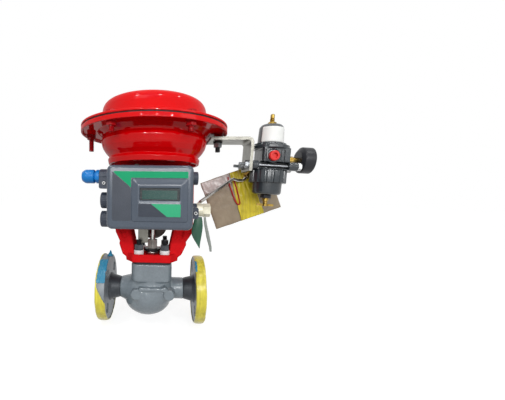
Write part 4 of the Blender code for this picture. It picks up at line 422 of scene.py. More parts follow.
@dataclass(frozen=True)
class DisplayGlass(Finish):
    """Reflective liquid-crystal glass, switched off: a grey-green sheet with painted shade at one end and a painted
    reflection at the other, under a shine.
    """

    # Lighter colour at the right end: a painted reflection; the darker base colour at the left end is painted shade
    shade: str = "355550"
    cell_mm: tuple[float, float] = (3.4, 6.0)
    gap_mm: float = 0.25

    def write(self, tree: NodeTree, mm: NodeSocket) -> None:
        """Run the tint from painted shade at one end to a painted reflection at the other, with a faint cell grid.

        Args:
            tree: Node tree of the material.
            mm: Coordinates on the piece in millimetres.
        """
        along = add_node(tree, "ShaderNodeSeparateXYZ", {"Vector": mm}, "X")
        # Ramp along X from painted shade at -12 mm to a painted reflection at 42 mm
        run = add_node(tree, RANGE, {"Value": along, "From Min": -12.0, "From Max": 42.0})
        white, gap = (1, 1, 1, 1), (0.93, 0.93, 0.93, 1)
        cells = add_node(tree, "ShaderNodeTexBrick", {"Vector": mm, "Color1": white, "Color2": white, "Mortar": gap,
                                                      "Scale": 1.0, "Brick Width": self.cell_mm[0],
                                                      "Row Height": self.cell_mm[1], "Mortar Size": self.gap_mm})
        tint = tinted(tree, run, self.colour, self.shade)
        both = add_node(tree, "ShaderNodeMix", {0: 1.0, 6: tint, 7: cells}, 2, data_type="RGBA",
                        blend_type="MULTIPLY")
        set_shader(tree, {"Base Color": both})


# Finishes

# Enamel sprayed on the pressed casings gives the brightest, wettest red of the object
CASING_ENAMEL = SprayedEnamel("red_enamel_on_pressed_steel", "DC0004", 0.24, "red_paint", shade="CA0004")
BOLT_ENAMEL = SprayedEnamel("red_enamel_over_bolts", "C2121A", 0.34, "red_paint", shade="8E0C12", peel_mm=1.2,
                            peel_depth_mm=0.012, coat=0.42)
# Iron poured in sand and painted red: a dull skin with the sand's grain
YOKE_PAINT = PaintedCasting("red_paint_on_cast_iron", "EA2126", 0.32, "red_paint", shade="D21A1F", dirt="8E1014",
                            grain_mm=1.3, grain_depth_mm=0.25, shine=0.0)
# Steel poured in sand and painted grey: soft lumps and a satin skin
BODY_PAINT = PaintedCasting("grey_paint_on_cast_steel", "828D94", 0.20, "grey_paint", shade="6E787F", dirt="565D63",
                            grain_mm=1.8, grain_depth_mm=0.12, lump_mm=5.0, lump_depth_mm=0.5, shine=0.7)
# Forged steel turned for the flanges and given one thin coat of grey
FLANGE_STEEL = WorkedMetal("painted_forged_steel", "8A9196", 0.42, "bare_flange", tarnish="6F777C", grain_mm=0.9,
                           depth_mm=0.03, cloud_mm=20, metallic=0.1)
NECK_STEEL = WorkedMetal("blackened_forged_steel", "3C4147", 0.40, "bare_flange", tarnish="2A2E33", grain_mm=0.9,
                         depth_mm=0.03, metallic=0.3)
# Steel, blacked, turned, rolled or drawn: fine streaks from the tool draw its glint out along the grain
BLACK_STEEL = WorkedMetal("black_oxide_steel", "2A2B30", 0.42, "black_steel", tarnish="18191C", metallic=0.5)
BRIGHT_STEEL = WorkedMetal("turned_stainless_steel", "C9C8C6", 0.22, "stainless", tarnish="98948E", grain_mm=0.5)
ROLLED_STEEL = WorkedMetal("brushed_stainless_bar", "7F7E77", 0.34, "stainless", tarnish="6C6A64",
                           grain=Grain.ALONG_X, grain_mm=0.6, depth_mm=0.03)
TUBE_STEEL = WorkedMetal("drawn_stainless_tube", "C4C2BF", 0.24, "stainless", tarnish="8D8882", grain=Grain.ALONG_X)
# Zinc and nickel plate, and nuts left oily: a cloudy bloom, grey where handled; the near-white zinc is pale plating
# under a painted glare
ZINC = WorkedMetal("zinc_plated_steel", "9DA0A3", 0.34, "zinc", tarnish="6C6F72", grain_mm=1.1, cloud_mm=6)
# Near-white and not metallic: a painted glare over the pale plating
ZINC_WITH_PAINTED_GLARE = WorkedMetal("zinc_steel_with_painted_glare", "FAFBFB", 0.42, "zinc", tarnish="E2E4E4", metallic=0.0)
PACKING_STEEL = WorkedMetal("bright_drawn_steel", "E4E2DD", 0.3, "stainless", tarnish="B9B5AD", metallic=0.5)
NICKEL = WorkedMetal("nickel_plated_brass", "E8E4D0", 0.34, "zinc", tarnish="C9C4AC", metallic=0.2)
DARK_ZINC = WorkedMetal("oiled_steel_nut", "55585D", 0.36, "zinc", tarnish="34363A", metallic=0.8)
# Plate steel darkened to a brown-grey as painted shade, turned brass gone dull, and oiled spring wire
PLATE_STEEL_IN_PAINTED_SHADE = WorkedMetal("plate_steel_darkened_as_painted_shade", "5A4E49", 0.5, "brown_steel", tarnish="3B322E", cloud_mm=18,
                          metallic=0.45)
BRASS = WorkedMetal("turned_brass", "A58C48", 0.3, "brass", tarnish="7A5B22", grain_mm=0.6, cloud_mm=5)
SPRING_STEEL = WorkedMetal("oiled_spring_steel", "6D7072", 0.35, "spring_steel", tarnish="45474A")
# Die-cast aluminium with a powder coat: a fine even skin, blue-grey
POSITIONER_COAT = MouldedPlastic("powder_coated_aluminium", "48525F", 0.22, "positioner_paint", shade="424B58",
                                 pebble_mm=0.9, pebble_depth_mm=0.012, shine=0.5)
HOUSING_COAT = MouldedPlastic("powder_coated_housing", "454C59", 0.42, "positioner_paint", shade="393F4B")
# Zinc die-cast in steel tools and painted: nearly smooth, a dark sheen on its edges
AIR_SET_COAT = PaintedCasting("grey_paint_on_die_cast", "2D3439", 0.20, "air_set_paint", shade="272E33", dirt="22272A",
                              grain_mm=0.9, grain_depth_mm=0.02, lump_mm=12, lump_depth_mm=0.08, shine=0.6)
BONNET_METAL = PaintedCasting("satin_grey_die_cast", "54575B", 0.24, "air_set_paint", shade="484B4F", dirt="3B3E42",
                              grain_mm=0.8, grain_depth_mm=0.02, lump_mm=14, lump_depth_mm=0.05, shine=0.6)
# Pressed rubber and graphite: matt and almost black
RUBBER = MouldedPlastic("nitrile_rubber", "1F1E20", 0.6, "rubber", shade="141315")
GRAPHITE = MouldedPlastic("pressed_graphite", "2E2F31", 0.5, "graphite", shade="232426")
# Plastics moulded in spark-eroded tools: an even pebble and a soft gloss
BLACK_PLASTIC = MouldedPlastic("black_abs", "292A2F", 0.36, "black_plastic", shade="1E1F23", pebble_mm=0.7)
PLUG_PLASTIC = MouldedPlastic("slate_nylon", "3E4552", 0.42, "black_plastic", shade="323844")
BLUE_PLASTIC = MouldedPlastic("blue_nylon", "0C7AC8", 0.30, "blue_plastic", shade="1074C0")
RED_PLASTIC = MouldedPlastic("red_polyethylene", "DE241E", 0.38, "red_plastic", shade="C81C18")
# Epoxy board, and the clear window over the liquid-crystal glass in its black mask
CIRCUIT = MouldedPlastic("epoxy_circuit_board", "1F5B3A", 0.4, "circuit_green", shade="174A2E")
WINDOW = ClearPlastic("clear_polycarbonate", "6E7A77", 0.08, "clear_plastic")
# Its colour darkens to the left as painted shade and lightens to the right as a painted reflection
DISPLAY = DisplayGlass("liquid_crystal_glass", "1D4842", 0.22)
DISPLAY_MASK = MouldedPlastic("black_display_mask", "1E2226", 0.4, None, shade="171A1D")
# Vinyl films glued on the cover: satin, with a light emboss
GREEN_VINYL = MouldedPlastic("green_vinyl_film", "1C9C6C", 0.4, None, shade="189060", pebble_mm=0.6, shine=0.08)
DARK_VINYL = MouldedPlastic("embossed_dark_vinyl", "434852", 0.45, None, shade="343942", pebble_mm=1.3,
                            pebble_depth_mm=0.25)
# Plate printed on polyester: flat colour, smoother than the films around it
PLATE_GREEN = MouldedPlastic("green_printed_plate", "2AA072", 0.3, None, shade="29A271")
PLATE_DARK = MouldedPlastic("dark_printed_plate", "343A46", 0.3, None, shade="2C323D")
# Stretch film and tapes wound by hand over the flange faces, with painted shade in their creases
YELLOW_TAPE = StretchedFilm("yellow_polyethylene_tape", "FFF25A", 0.30, None, shade="9A8C16", dirt="6E6C30",
                            grain=Grain.ALONG_Z, crease_mm=5.0, crease_depth_mm=0.45)
BLUE_TAPE = StretchedFilm("blue_polyethylene_tape", "2A8BAA", 0.32, None, shade="2679A2", dirt="1F5E7C",
                          crease_mm=4.0, crease_depth_mm=0.7)
BAG_TAPE = StretchedFilm("yellow_packing_tape", "FFEC3A", 0.3, None, shade="A08C14", dirt="857215",
                         grain=Grain.ALONG_Z, crease_mm=3.5, crease_depth_mm=0.5)
# Brown paper and a folded end of the bag: dull fibres under a crinkled shine
KRAFT = BaggedPaper("kraft_paper_in_polyethylene", "A2937C", 0.5, "kraft_paper", shade="7C6C55")
CLEAR_FOLD = StretchedFilm("folded_polyethylene_bag", "E8E0DC", 0.2, None, shade="8E7E7A", dirt="6E3F55",
                           crease_mm=5.0, crease_depth_mm=0.5)
# Tags cut from film, one of them a white strap greyed as painted shade, and wire dipped in red plastic: a faint shine
# along their bends
GREEN_FILM = StretchedFilm("green_polyester_tag", "2A5F49", 0.42, "green_film", shade="1E4B38", dirt="163C2D",
                           crease_mm=12.0)
# Mid grey over a white strap: painted shade
WHITE_STRAP_IN_PAINTED_SHADE = StretchedFilm("white_strap_greyed_as_painted_shade", "8E938E", 0.4, "white_film", shade="828883", dirt="777C77",
                           crease_mm=9.0)
TIE_PLASTIC = MouldedPlastic("red_coated_wire", "C4242B", 0.36, None, shade="A01B22")
# White vinyl label, baked enamel and screen-printed ink: clean and flat
LABEL_PAPER = MouldedPlastic("white_vinyl_label", "F0F1EF", 0.36, None, shade="DDDEDB", pebble_mm=2.5)
DIAL_PAINT = MouldedPlastic("white_dial_enamel", "F2F2EE", 0.35, None, shade="E8E8E2")
DIAL_INK = MouldedPlastic("black_dial_ink", "17181A", 0.5, None, shade="101113")


# Meshes

Profile = list[tuple[float, ...]]  # pairs, each with a radius after it where its corner is round
Loop = list[Vector]


def polar(radius: float, angle: float, height: float) -> Vector:
    """Return a point by its distance and angle round the local Z axis and its height."""
    return Vector((radius * math.cos(angle), radius * math.sin(angle), height))


@dataclass
class Shell:
    """Points and faces of a piece while it is being built."""

    points: list[Vector] = field(default_factory=list)
    faces: list[tuple[int, ...]] = field(default_factory=list)

    def loft(self, loops: list[Loop], caps: bool = True, ring: bool = False) -> "Shell":
        """Skin a row of loops that have the same number of points.

        Args:
            loops: The loops, each closed by itself.
            caps: Whether faces close the first and the last loop.
            ring: Whether the last loop joins the first.

        Returns:
            The shell itself.
        """
        start, count, rows = len(self.points), len(loops[0]), len(loops)
        for loop in loops:
            self.points.extend(Vector(p) for p in loop)
        for row in range(rows if ring else rows - 1):
            low, high = start + row * count, start + (row + 1) % rows * count
            for i in range(count):
                j = (i + 1) % count
                self.faces.append((low + i, low + j, high + j, high + i))
        if caps and not ring:
            self.faces.append(tuple(start + i for i in reversed(range(count))))
            self.faces.append(tuple(start + (rows - 1) * count + i for i in range(count)))
        return self

    def turned(self, profile: Profile, place: Matrix | None = None, sides: int = 96, steps: int = 0,
               ring: bool = False, reach: Callable[[float], float] = lambda angle: 1.0) -> "Shell":
        """Turn (radius, height) pairs about the local Z axis.

        Args:
            profile: The pairs, along the section.
            place: Where the local axes lie.
            sides: Facets round the axis.
            steps: Facets in each round corner of the section.
            ring: Whether the section is closed.
            reach: Share of the radius at an angle, for a form that isn't round.

        Returns:
            The shell itself.
        """
        place = place or Matrix.Identity(4)
        line = rounded_line(profile, steps, ring) if steps else profile
        angles = [2 * math.pi * i / sides for i in range(sides)]
        loops = [[place @ polar(max(r, 1e-5) * reach(a), a, z) for a in angles] for r, z in line]
        return self.loft(loops, ring=ring)

    def sheet(self, rows: list[Loop]) -> "Shell":
        """Skin open rows of points, as an open sheet.

        Args:
            rows: Rows with the same number of points.

        Returns:
            The shell itself.
        """
        start, count = len(self.points), len(rows[0])
        for row in rows:
            self.points.extend(Vector(p) for p in row)
        for r in range(len(rows) - 1):
            for i in range(count - 1):
                a = start + r * count + i
                self.faces.append((a, a + 1, a + count + 1, a + count))
        return self

    def mesh(self, name: str) -> Mesh:
        """Return a welded mesh that faces out.

        Args:
            name: Name of the mesh.

        Returns:
            The mesh.
        """
        made = bpy.data.meshes.new(name)
        made.from_pydata([tuple(p) for p in self.points], [], self.faces)
        bm = bmesh.new()
        bm.from_mesh(made)
        bmesh.ops.remove_doubles(bm, verts=bm.verts, dist=1e-6)
        bmesh.ops.recalc_face_normals(bm, faces=bm.faces)
        bm.to_mesh(made)
        bm.free()
        return made


def piece(name: str, shape: Shell | Mesh, finish: Finish, stands_for: str = "", body: Body = Body.VALVE,
          sharp: float = 38.0) -> Object:
    """Make a piece of the scene that rides on a body.

    Args:
        name: Name of the piece.
        shape: Its shell or mesh, in the row frame.
        finish: Its finish.
        stands_for: CAD node that it replaces, if any.
        body: Body that it rides on.
        sharp: Angle in degrees from which an edge stays sharp.

    Returns:
        The object.
    """
    mesh = shape.mesh(name) if isinstance(shape, Shell) else shape
    obj = loose(name, mesh)
    mesh.materials.clear()
    mesh.materials.append(finish.material())
    mesh.shade_smooth()
    mesh.set_sharp_from_angle(angle=math.radians(sharp))
    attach(obj, body.value)
    if stands_for:
        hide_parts(stands_for)
    LOG.info("%s: %d faces, %s", name, len(mesh.polygons), finish.name)
    return obj


def film_piece(name: str, rows: list[Loop], finish: Finish, thickness: float, offset: float = -1.0,
               **options: object) -> Object:
    """Make a thin sheet.

    Args:
        name: Name of the piece.
        rows: Rows of points of one side or the middle.
        finish: Its finish.
        thickness: How thick it is.
        offset: Side on which the thickness lies: -1 below, 0 on both, 1 above.
        options: What piece() takes besides.

    Returns:
        The object.
    """
    obj = piece(name, Shell().sheet(rows), finish, **options)
    thick = obj.modifiers.new("thickness", "SOLIDIFY")
    thick.thickness = thickness
    thick.offset = offset
    return obj


def dressed(node: str, finish: Finish, soft: float = 0.0, angle: float = 40.0) -> None:
    """Give a CAD node a finish, and round its sharp edges with a modifier.

    Args:
        node: Name of the node.
        finish: Its finish.
        soft: Width of the rounding in metres, or nought for none.
        angle: Angle in degrees from which an edge is rounded.
    """
    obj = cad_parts[node]
    obj.data.materials.clear()
    obj.data.materials.append(finish.material())
    if not soft:
        return
    merge = obj.modifiers.new("merge_flat_faces", "DECIMATE")
    merge.decimate_type = "DISSOLVE"
    merge.angle_limit = math.radians(0.5)
    bevel = obj.modifiers.new("soft_edges", "BEVEL")
    bevel.width = soft
    bevel.segments = 2
    bevel.limit_method = "ANGLE"
    bevel.angle_limit = math.radians(angle)
    bevel.harden_normals = False


def evaluated(obj: Object, name: str) -> Mesh:
    """Return a copy of an object's mesh with its modifiers applied, and remove the object.

    Args:
        obj: The object.
        name: Name of the new mesh.

    Returns:
        The mesh.
    """
    bpy.context.view_layer.update()
    depsgraph = bpy.context.evaluated_depsgraph_get()
    made = bpy.data.meshes.new_from_object(obj.evaluated_get(depsgraph))
    made.name = name
    bpy.data.objects.remove(obj, do_unlink=True)
    return made


def loose(name: str, data: ID) -> Object:
    """Link a mesh, a text, a lamp or a camera to the scene as an object.

    Args:
        name: Name of the object.
        data: What it shows or holds.

    Returns:
        The object.
    """
    obj = bpy.data.objects.new(name, data)
    bpy.context.scene.collection.objects.link(obj)
    return obj


def cast_form(name: str, mesh: Mesh, voxel: float, passes: int, lump: float = 0.0,
              lump_size: float = 0.010) -> Mesh:
    """Melt overlapping shells into one casting with filleted corners.

    Args:
        name: Name of the mesh.
        mesh: Shells that may overlap.
        voxel: Size of the new faces in metres.
        passes: How often the surface is smoothed.
        lump: Depth of the casting's unevenness in metres.
        lump_size: Width of that unevenness in metres.

    Returns:
        The casting's mesh.
    """
    obj = loose(name, mesh)
    melt = obj.modifiers.new("melt", "REMESH")
    melt.mode = "VOXEL"
    melt.voxel_size = voxel
    smooth = obj.modifiers.new("fillet", "SMOOTH")
    smooth.factor = 0.5
    smooth.iterations = passes
    made = evaluated(obj, name)
    points, normals = np.empty(3 * len(made.vertices)), np.empty(3 * len(made.vertices))
    made.vertices.foreach_get("co", points)
    made.vertices.foreach_get("normal", normals)
    rise = [noise.noise(Vector(point) / lump_size) for point in points.reshape(-1, 3)]
    made.vertices.foreach_set("co", points + normals * np.repeat(rise, 3) * lump)
    made.update()
    return made


def cut_away(name: str, mesh: Mesh, tools: list[Shell]) -> Mesh:
    """Cut closed shells out of a mesh.

    Args:
        name: Name of the mesh.
        mesh: The mesh to cut.
        tools: Closed shells.

    Returns:
        What is left.
    """
    obj = loose(name, mesh)
    helpers = [loose(f"{name}_tool_{i}", tool.mesh("tool")) for i, tool in enumerate(tools)]
    for helper in helpers:
        boolean = obj.modifiers.new("cut", "BOOLEAN")
        boolean.operation = "DIFFERENCE"
        boolean.object = helper
    made = evaluated(obj, name)
    for helper in helpers:
        bpy.data.objects.remove(helper, do_unlink=True)
    return made


def copy_of(node: str) -> Mesh:
    """Return a copy of a CAD node's mesh."""
    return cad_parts[node].data.copy()


def axis_frame(origin: Iterable[float] = (0, 0, 0), direction: Iterable[float] = (0, 0, 1)) -> Matrix:
    """Return a matrix that puts the local Z axis at a point along a direction."""
    return Matrix.Translation(Vector(origin)) @ Vector(direction).to_track_quat("Z", "Y").to_matrix().to_4x4()


def rounded_line(corners: Profile, steps: int, ring: bool = False) -> Profile:
    """Replace a line's corners by tangent arcs.

    Args:
        corners: Its corners, each with its radius where it is round.
        steps: Facets in each arc.
        ring: Whether the line is closed.

    Returns:
        The rounded line.
    """
    made: Profile = []
    count = len(corners)
    for i, corner in enumerate(corners):
        here = Vector(corner[:2])
        if len(corner) < 3 or (not ring and i in (0, count - 1)):
            made.append(tuple(here))
            continue
        back, ahead = Vector(corners[i - 1][:2]) - here, Vector(corners[(i + 1) % count][:2]) - here
        reach = min(corner[2] / math.tan(back.angle(ahead) / 2), 0.49 * back.length, 0.49 * ahead.length)
        first, last = here + back.normalized() * reach, here + ahead.normalized() * reach
        for k in range(steps + 1):
            t = k / steps
            made.append(tuple(first.lerp(here, t).lerp(here.lerp(last, t), t)))
    return made


def rounded_rectangle(centre: tuple[float, float], width: float, height: float, radius: float, level: float,
                      steps: int = 6) -> Loop:
    """Return a rounded rectangle in an XZ plane.

    Args:
        centre: X and Z of its middle.
        width: Size along X.
        height: Size along Z.
        radius: Radius of the corners.
        level: Y of the plane.
        steps: Facets in each corner.

    Returns:
        The loop of points.
    """
    half_w, half_h = width / 2 - radius, height / 2 - radius
    loop = []
    for start, (sx, sz) in zip((0, 90, 180, 270), ((1, 1), (-1, 1), (-1, -1), (1, -1))):
        for k in range(steps + 1):
            a = math.radians(start + 90 * k / steps)
            loop.append(Vector((centre[0] + sx * half_w + radius * math.cos(a), level,
                                centre[1] + sz * half_h + radius * math.sin(a))))
    return loop


def flat_plate(outline: Profile, back: float, front: float, edge: float) -> Shell:
    """Return a thin plate that lies in an XZ plane.

    Args:
        outline: X and Z of its corners.
        back: Y of its back.
        front: Y of its front.
        edge: Rounding of the front edge.

    Returns:
        The plate as a shell.
    """
    middle = Vector((sum(x for x, _ in outline), sum(z for _, z in outline))) / len(outline)
    inner = [Vector(point) + (middle - Vector(point)).normalized() * edge for point in outline]
    return Shell().loft([[Vector((x, y, z)) for x, z in line]
                         for line, y in ((outline, back), (outline, front + edge), (inner, front))])


def hexagon_share(angle: float, softness: float = 0.0) -> float:
    """Share of the radius across flats at an angle, for a hexagon; softness 1 gives a circle."""
    turn = (angle + math.pi / 6) % (math.pi / 3) - math.pi / 6
    return (1 - softness) / math.cos(turn) + softness


def grip_share(angle: float, ribs: int, depth: float) -> float:
    """Share of the radius at an angle, for a plug or a knob with shallow grooves."""
    return 1.0 - depth * max(0.0, math.sin(ribs * angle)) ** 2


def rod(place: Matrix, diameter: float, length: float, sides: int = 48) -> Shell:
    """Return a plain rod, to drill with."""
    r = diameter / 2
    return Shell().turned([(0, 0), (r, 0), (r, length), (0, length)], place, sides)


@dataclass
class Fastener:
    """Threaded rod with nuts, heads and washers along one axis."""

    place: Matrix
    diameter: float = 0.01
    pitch: float = 0.00125

    def thread(self, low: float, high: float) -> Shell:
        """Rod with the crests and roots of its thread.

        Args:
            low: Lower end along the axis.
            high: Upper end along the axis.

        Returns:
            The rod as a shell.
        """
        crest, root = self.diameter / 2, self.diameter / 2 - 0.55 * self.pitch
        count = max(2, int((high - low) / self.pitch))
        pitch = (high - low) / count
        profile: Profile = [(0, low), (root, low)]
        for i in range(count):
            base = low + i * pitch
            profile += [(root, base + 0.12 * pitch), (crest, base + 0.45 * pitch), (crest, base + 0.6 * pitch),
                        (root, base + 0.93 * pitch)]
        return Shell().turned(profile + [(root, high), (0, high)], self.place, 32)

    def nut(self, across: float, low: float, high: float, cut_below: bool = True) -> Shell:
        """Hexagon with cone-cut corners.

        Args:
            across: Size across flats.
            low: Lower face along the axis.
            high: Upper face along the axis.
            cut_below: Whether the lower corners are cut too.

        Returns:
            The hexagon as a shell.
        """
        apothem, corner = across / 2, across / math.sqrt(3)
        depth, sides, least = 0.36 * (corner - apothem), 72, 0.97 * apothem
        steps = depth * np.array([0, 0.33, 0.66, 1.0])
        turns = [2 * math.pi * i / sides for i in range(sides)]
        loops = []
        for z in np.concatenate([low + steps, high - steps[::-1]]):
            limit = corner
            if cut_below and z < low + depth:
                limit = least + (corner - least) * (z - low) / depth
            if z > high - depth:
                limit = min(limit, least + (corner - least) * (high - z) / depth)
            loops.append([self.place @ polar(min(apothem * hexagon_share(a), limit), a, z) for a in turns])
        return Shell().loft(loops)

    def collar(self, diameter: float, low: float, high: float, edge: float = 0.0004) -> Shell:
        """Washer or plain round part with rounded rims."""
        r = diameter / 2
        return Shell().turned([(0, low), (r, low, edge), (r, high, edge), (0, high)], self.place, 48, 3)


def smoothed(points: Loop, steps: int) -> Loop:
    """Run a smooth curve through points.

    Args:
        points: The points.
        steps: Pieces between two of them.

    Returns:
        The points of the curve.
    """
    made = []
    for i in range(len(points) - 1):
        a, b, c, d = (points[max(0, min(len(points) - 1, i + k))] for k in (-1, 0, 1, 2))
        for k in range(steps):
            t = k / steps
            made.append(0.5 * ((2 * b) + (c - a) * t + (2 * a - 5 * b + 4 * c - d) * t ** 2
                               + (3 * b - a - 3 * c + d) * t ** 3))
    return made + [points[-1]]


def joined(*shells: Shell) -> Shell:
    """Return one shell with the points and faces of several.

    Args:
        shells: The shells.

    Returns:
        The one shell.
    """
    made = Shell()
    for shell in shells:
        start = len(made.points)
        made.points.extend(shell.points)
        made.faces.extend(tuple(start + i for i in face) for face in shell.faces)
    return made


def grid(rows: int, columns: int, point: Callable[[float, float], Vector]) -> list[Loop]:
    """Lay rows of points.

    Args:
        rows: Steps from the first row to the last.
        columns: Steps along a row.
        point: Gives the point at a share of the rows and a share of the columns.

    Returns:
        The rows.
    """
    return [[point(j / rows, i / columns) for i in range(columns + 1)] for j in range(rows + 1)]


def waver(size: float, x: float, y: float, z: float) -> float:
    """Return smooth noise of some size at a place."""
    return size * noise.noise(Vector((x, y, z)))


# Sub-assemblies


@dataclass
class PipeLine:
    """Cast valve body between its two forged weld-neck flanges, with the tapes left on the flange rims."""

    neck_d: float = 0.040
    weld_x: float = 0.060
    belly_r: float = 0.042
    belly_x: float = -0.008
    belly_drop: float = 0.0095
    inlet_run: float = 0.057
    outlet_run: float = 0.044
    barrel_r: float = 0.039
    block_w: float = 0.075
    block_z: float = 0.020
    block_corner: float = 0.013
    body_top: float = 0.054
    boss_d: float = 0.020
    boss_x: float = 0.030
    boss_y: float = -0.0405
    bulge_r: float = 0.0385
    bulge_h: float = 0.034
    bore_d: float = 0.025
    face_x: float = 0.0985
    flange_d: float = 0.124
    flange_t: float = 0.0159
    raised_d: float = 0.0508
    raised_t: float = 0.0016
    hub_d: float = 0.047
    bolt_circle_d: float = 0.0889
    bolt_hole_d: float = 0.019
    tape_t: float = 0.0009
    film_t: float = 0.0004

    def belly(self, x: float) -> tuple[float, float]:
        """Return the radius of the belly and the height of its centre.

        Args:
            x: Distance from the stem axis towards the outlet.

        Returns:
            The radius, and the height of the centre.
        """
        if x >= self.belly_x:
            u = min((x - self.belly_x) / self.outlet_run, 1)
            grow, drop = math.sqrt(1 - u * u), 1 - u
        else:
            u = min((self.belly_x - x) / self.inlet_run, 1)
            grow = drop = math.cos(math.pi / 2 * u) ** 2
        return self.neck_d / 2 + (self.belly_r - self.neck_d / 2) * grow, -self.belly_drop * drop

    def body_shells(self) -> Shell:
        """Return the overlapping shells that the casting is melted from.

        Returns:
            The shells as one.
        """
        loops = []
        for x in np.linspace(-self.weld_x, self.weld_x, 90):
            r, z = self.belly(x)
            loops.append([Vector((x, r * math.cos(a), z + r * math.sin(a)))
                          for a in np.linspace(0, 2 * math.pi, 72, endpoint=False)])
        belly = Shell().loft(loops)
        r = self.barrel_r
        barrel = Shell().turned([(0, 0.032), (0.9 * r, 0.032), (0.98 * r, 0.008, 0.01), (r, -0.006, 0.02),
                                 (0.9 * r, -0.024, 0.012), (0, -0.030)], steps=5)
        bosses = [Fastener(axis_frame((side * self.boss_x + 0.003, self.boss_y, -0.0015), (0, 1, 0)))
                  .collar(self.boss_d, 0.0, -self.boss_y, 0.0012) for side in (-1, 1)]
        rib = Shell().loft([rounded_rectangle((0.001, 0.0095), 0.046, 0.006, 0.002, y) for y in (-0.0435, -0.030)])
        small = Fastener(axis_frame((0.0245, self.boss_y - 0.0012, 0.0095), (0, 1, 0))).collar(0.0095, 0, 0.02)
        turns = [math.pi * k / 24 for k in range(25)]
        bulge = Shell().turned([(self.bulge_r * math.sin(t), -self.bulge_h * math.cos(t)) for t in turns],
                               Matrix.Translation((-0.0075, 0, -0.0175)) @ Matrix.Diagonal((1.16, 1, 1, 1)))
        return joined(belly, barrel, self.bonnet_block(), *bosses, rib, small, bulge)

    def bonnet_block(self) -> Shell:
        """Return the square block below the bonnet, with rounded corners and a rounded foot.

        Returns:
            The block as a shell.
        """
        loops = []
        for inset, z in ((0.0035, self.block_z), (0.001, self.block_z + 0.001), (0, self.block_z + 0.0035),
                         (0, self.body_top)):
            width = self.block_w - 2 * inset
            flat = rounded_rectangle((0, 0), width, width, self.block_corner, 0)
            loops.append([Vector((p.x, p.z, z)) for p in flat])
        return Shell().loft(loops)

    def build_body(self) -> None:
        """Melt the casting and bore its two ends."""
        cast = cast_form("valve_casting", self.body_shells().mesh("body_shells"), 0.0013, 6, 0.00035, 0.012)
        bores = [rod(axis_frame((side * (self.weld_x + 0.01), 0, 0), (-side, 0, -0.16)), self.bore_d, 0.05)
                 for side in (-1, 1)]
        piece("valve_casting", cut_away("valve_casting", cast, bores), BODY_PAINT, "valve_body")

    def build_flange(self, name: str, side: int) -> None:
        """Turn a flange and drill its holes; its neck is darker than its disc.

        Args:
            name: CAD node of the flange.
            side: -1 at the inlet, 1 at the outlet.
        """
        place = axis_frame(direction=(side, 0, 0))
        front, back = self.face_x - self.raised_t, self.face_x - self.raised_t - self.flange_t
        r, raised, hub, bore = self.flange_d / 2, self.raised_d / 2, self.hub_d / 2, self.bore_d / 2
        section = [(bore, self.face_x), (raised, self.face_x, 0.0003), (raised, front, 0.0003), (r, front, 0.0008),
                   (r, back, 0.0012), (hub + 0.001, back), (bore, back)]
        disc = Shell().turned(section, place, 128, 3, ring=True).mesh(name)
        holes = []
        for a in (math.radians(45 + 90 * i) for i in range(4)):
            y, z = self.bolt_circle_d / 2 * math.cos(a), self.bolt_circle_d / 2 * math.sin(a)
            holes.append(rod(axis_frame((side * (back - 0.01), y, z), (side, 0, 0)), self.bolt_hole_d, 0.04, 40))
        piece(name + "_disc", cut_away(name, disc, holes), FLANGE_STEEL, name)
        neck, weld = self.neck_d / 2, self.weld_x + GAP
        section = [(bore, back - 0.0002), (hub + 0.0035, back - 0.0002), (hub, back - 0.005, 0.003),
                   (neck + 0.0006, weld + 0.004, 0.004), (neck - 0.0006, weld, 0.0005), (bore, weld)]
        piece(name + "_neck", Shell().turned(section, place, 96, 4, ring=True), NECK_STEEL)

    def build_yellow_tape(self, name: str, side: int, narrow: float) -> None:
        """Wind yellow tape round a flange's rim.

        Args:
            name: Name of the piece.
            side: -1 at the inlet, 1 at the outlet.
            narrow: Width in metres by which the tape's inner edge draws back over the top.
        """
        rows = []
        for a in (2 * math.pi * i / 240 for i in range(241)):
            up = 0.5 + 0.5 * math.sin(a)
            slant = narrow * min(1, max(0, (up - 0.41) / 0.23))
            x, y = math.cos(a), math.sin(a)
            inner = (self.face_x - self.raised_t - self.flange_t - 0.0010 + slant
                     + waver(0.0007, 4 * x, 4 * y, 1.3 * side))
            outer = self.face_x - 0.0006 + waver(0.0005, 4 * x, 4 * y, 5.1 * side)
            lip = (inner, -0.0030) if slant < 0.0005 else (inner - 0.0001, -0.0001)
            row = []
            for level, sink in ((outer, -0.0045), (outer, 0.0), ((inner + outer) / 2, 0.0), (inner, 0.0), lip):
                r = self.flange_d / 2 + self.tape_t + waver(0.0003, 9 * x, 9 * y, 300 * level) + sink
                row.append(Vector((side * level, r * x, r * y)))
            rows.append(row)
        tape = film_piece(name, rows, YELLOW_TAPE, self.film_t, 1.0, sharp=60)
        smooth = tape.modifiers.new("smooth", "SUBSURF")
        smooth.levels = smooth.render_levels = 1

    def build_blue_tape(self, name: str, side: int, arc: tuple[float, float], reach: tuple[float, float]) -> None:
        """Stick a crumpled patch of blue tape on a flange's rim.

        Args:
            name: Name of the piece.
            side: -1 at the inlet, 1 at the outlet.
            arc: First and last angle in degrees, from -Y upwards.
            reach: Inner and outer distance from the stem axis along X.
        """
        def point(t: float, s: float) -> Vector:
            """Place a point of the sheet.

            Args:
                t: Share of the arc.
                s: Share of the reach.

            Returns:
                The point.
            """
            a = math.radians(arc[0] + (arc[1] - arc[0]) * t)
            ragged = waver(0.0016, 7 * t, 3 * s, side * 2.0) if s in (0, 1) else 0
            crumple = 0.0007 + waver(0.0007, 9 * t, 5 * s, 4.0 + side)
            r = self.flange_d / 2 + 0.0003 + crumple
            return Vector((side * (reach[0] + (reach[1] - reach[0]) * s + ragged), -r * math.cos(a), r * math.sin(a)))

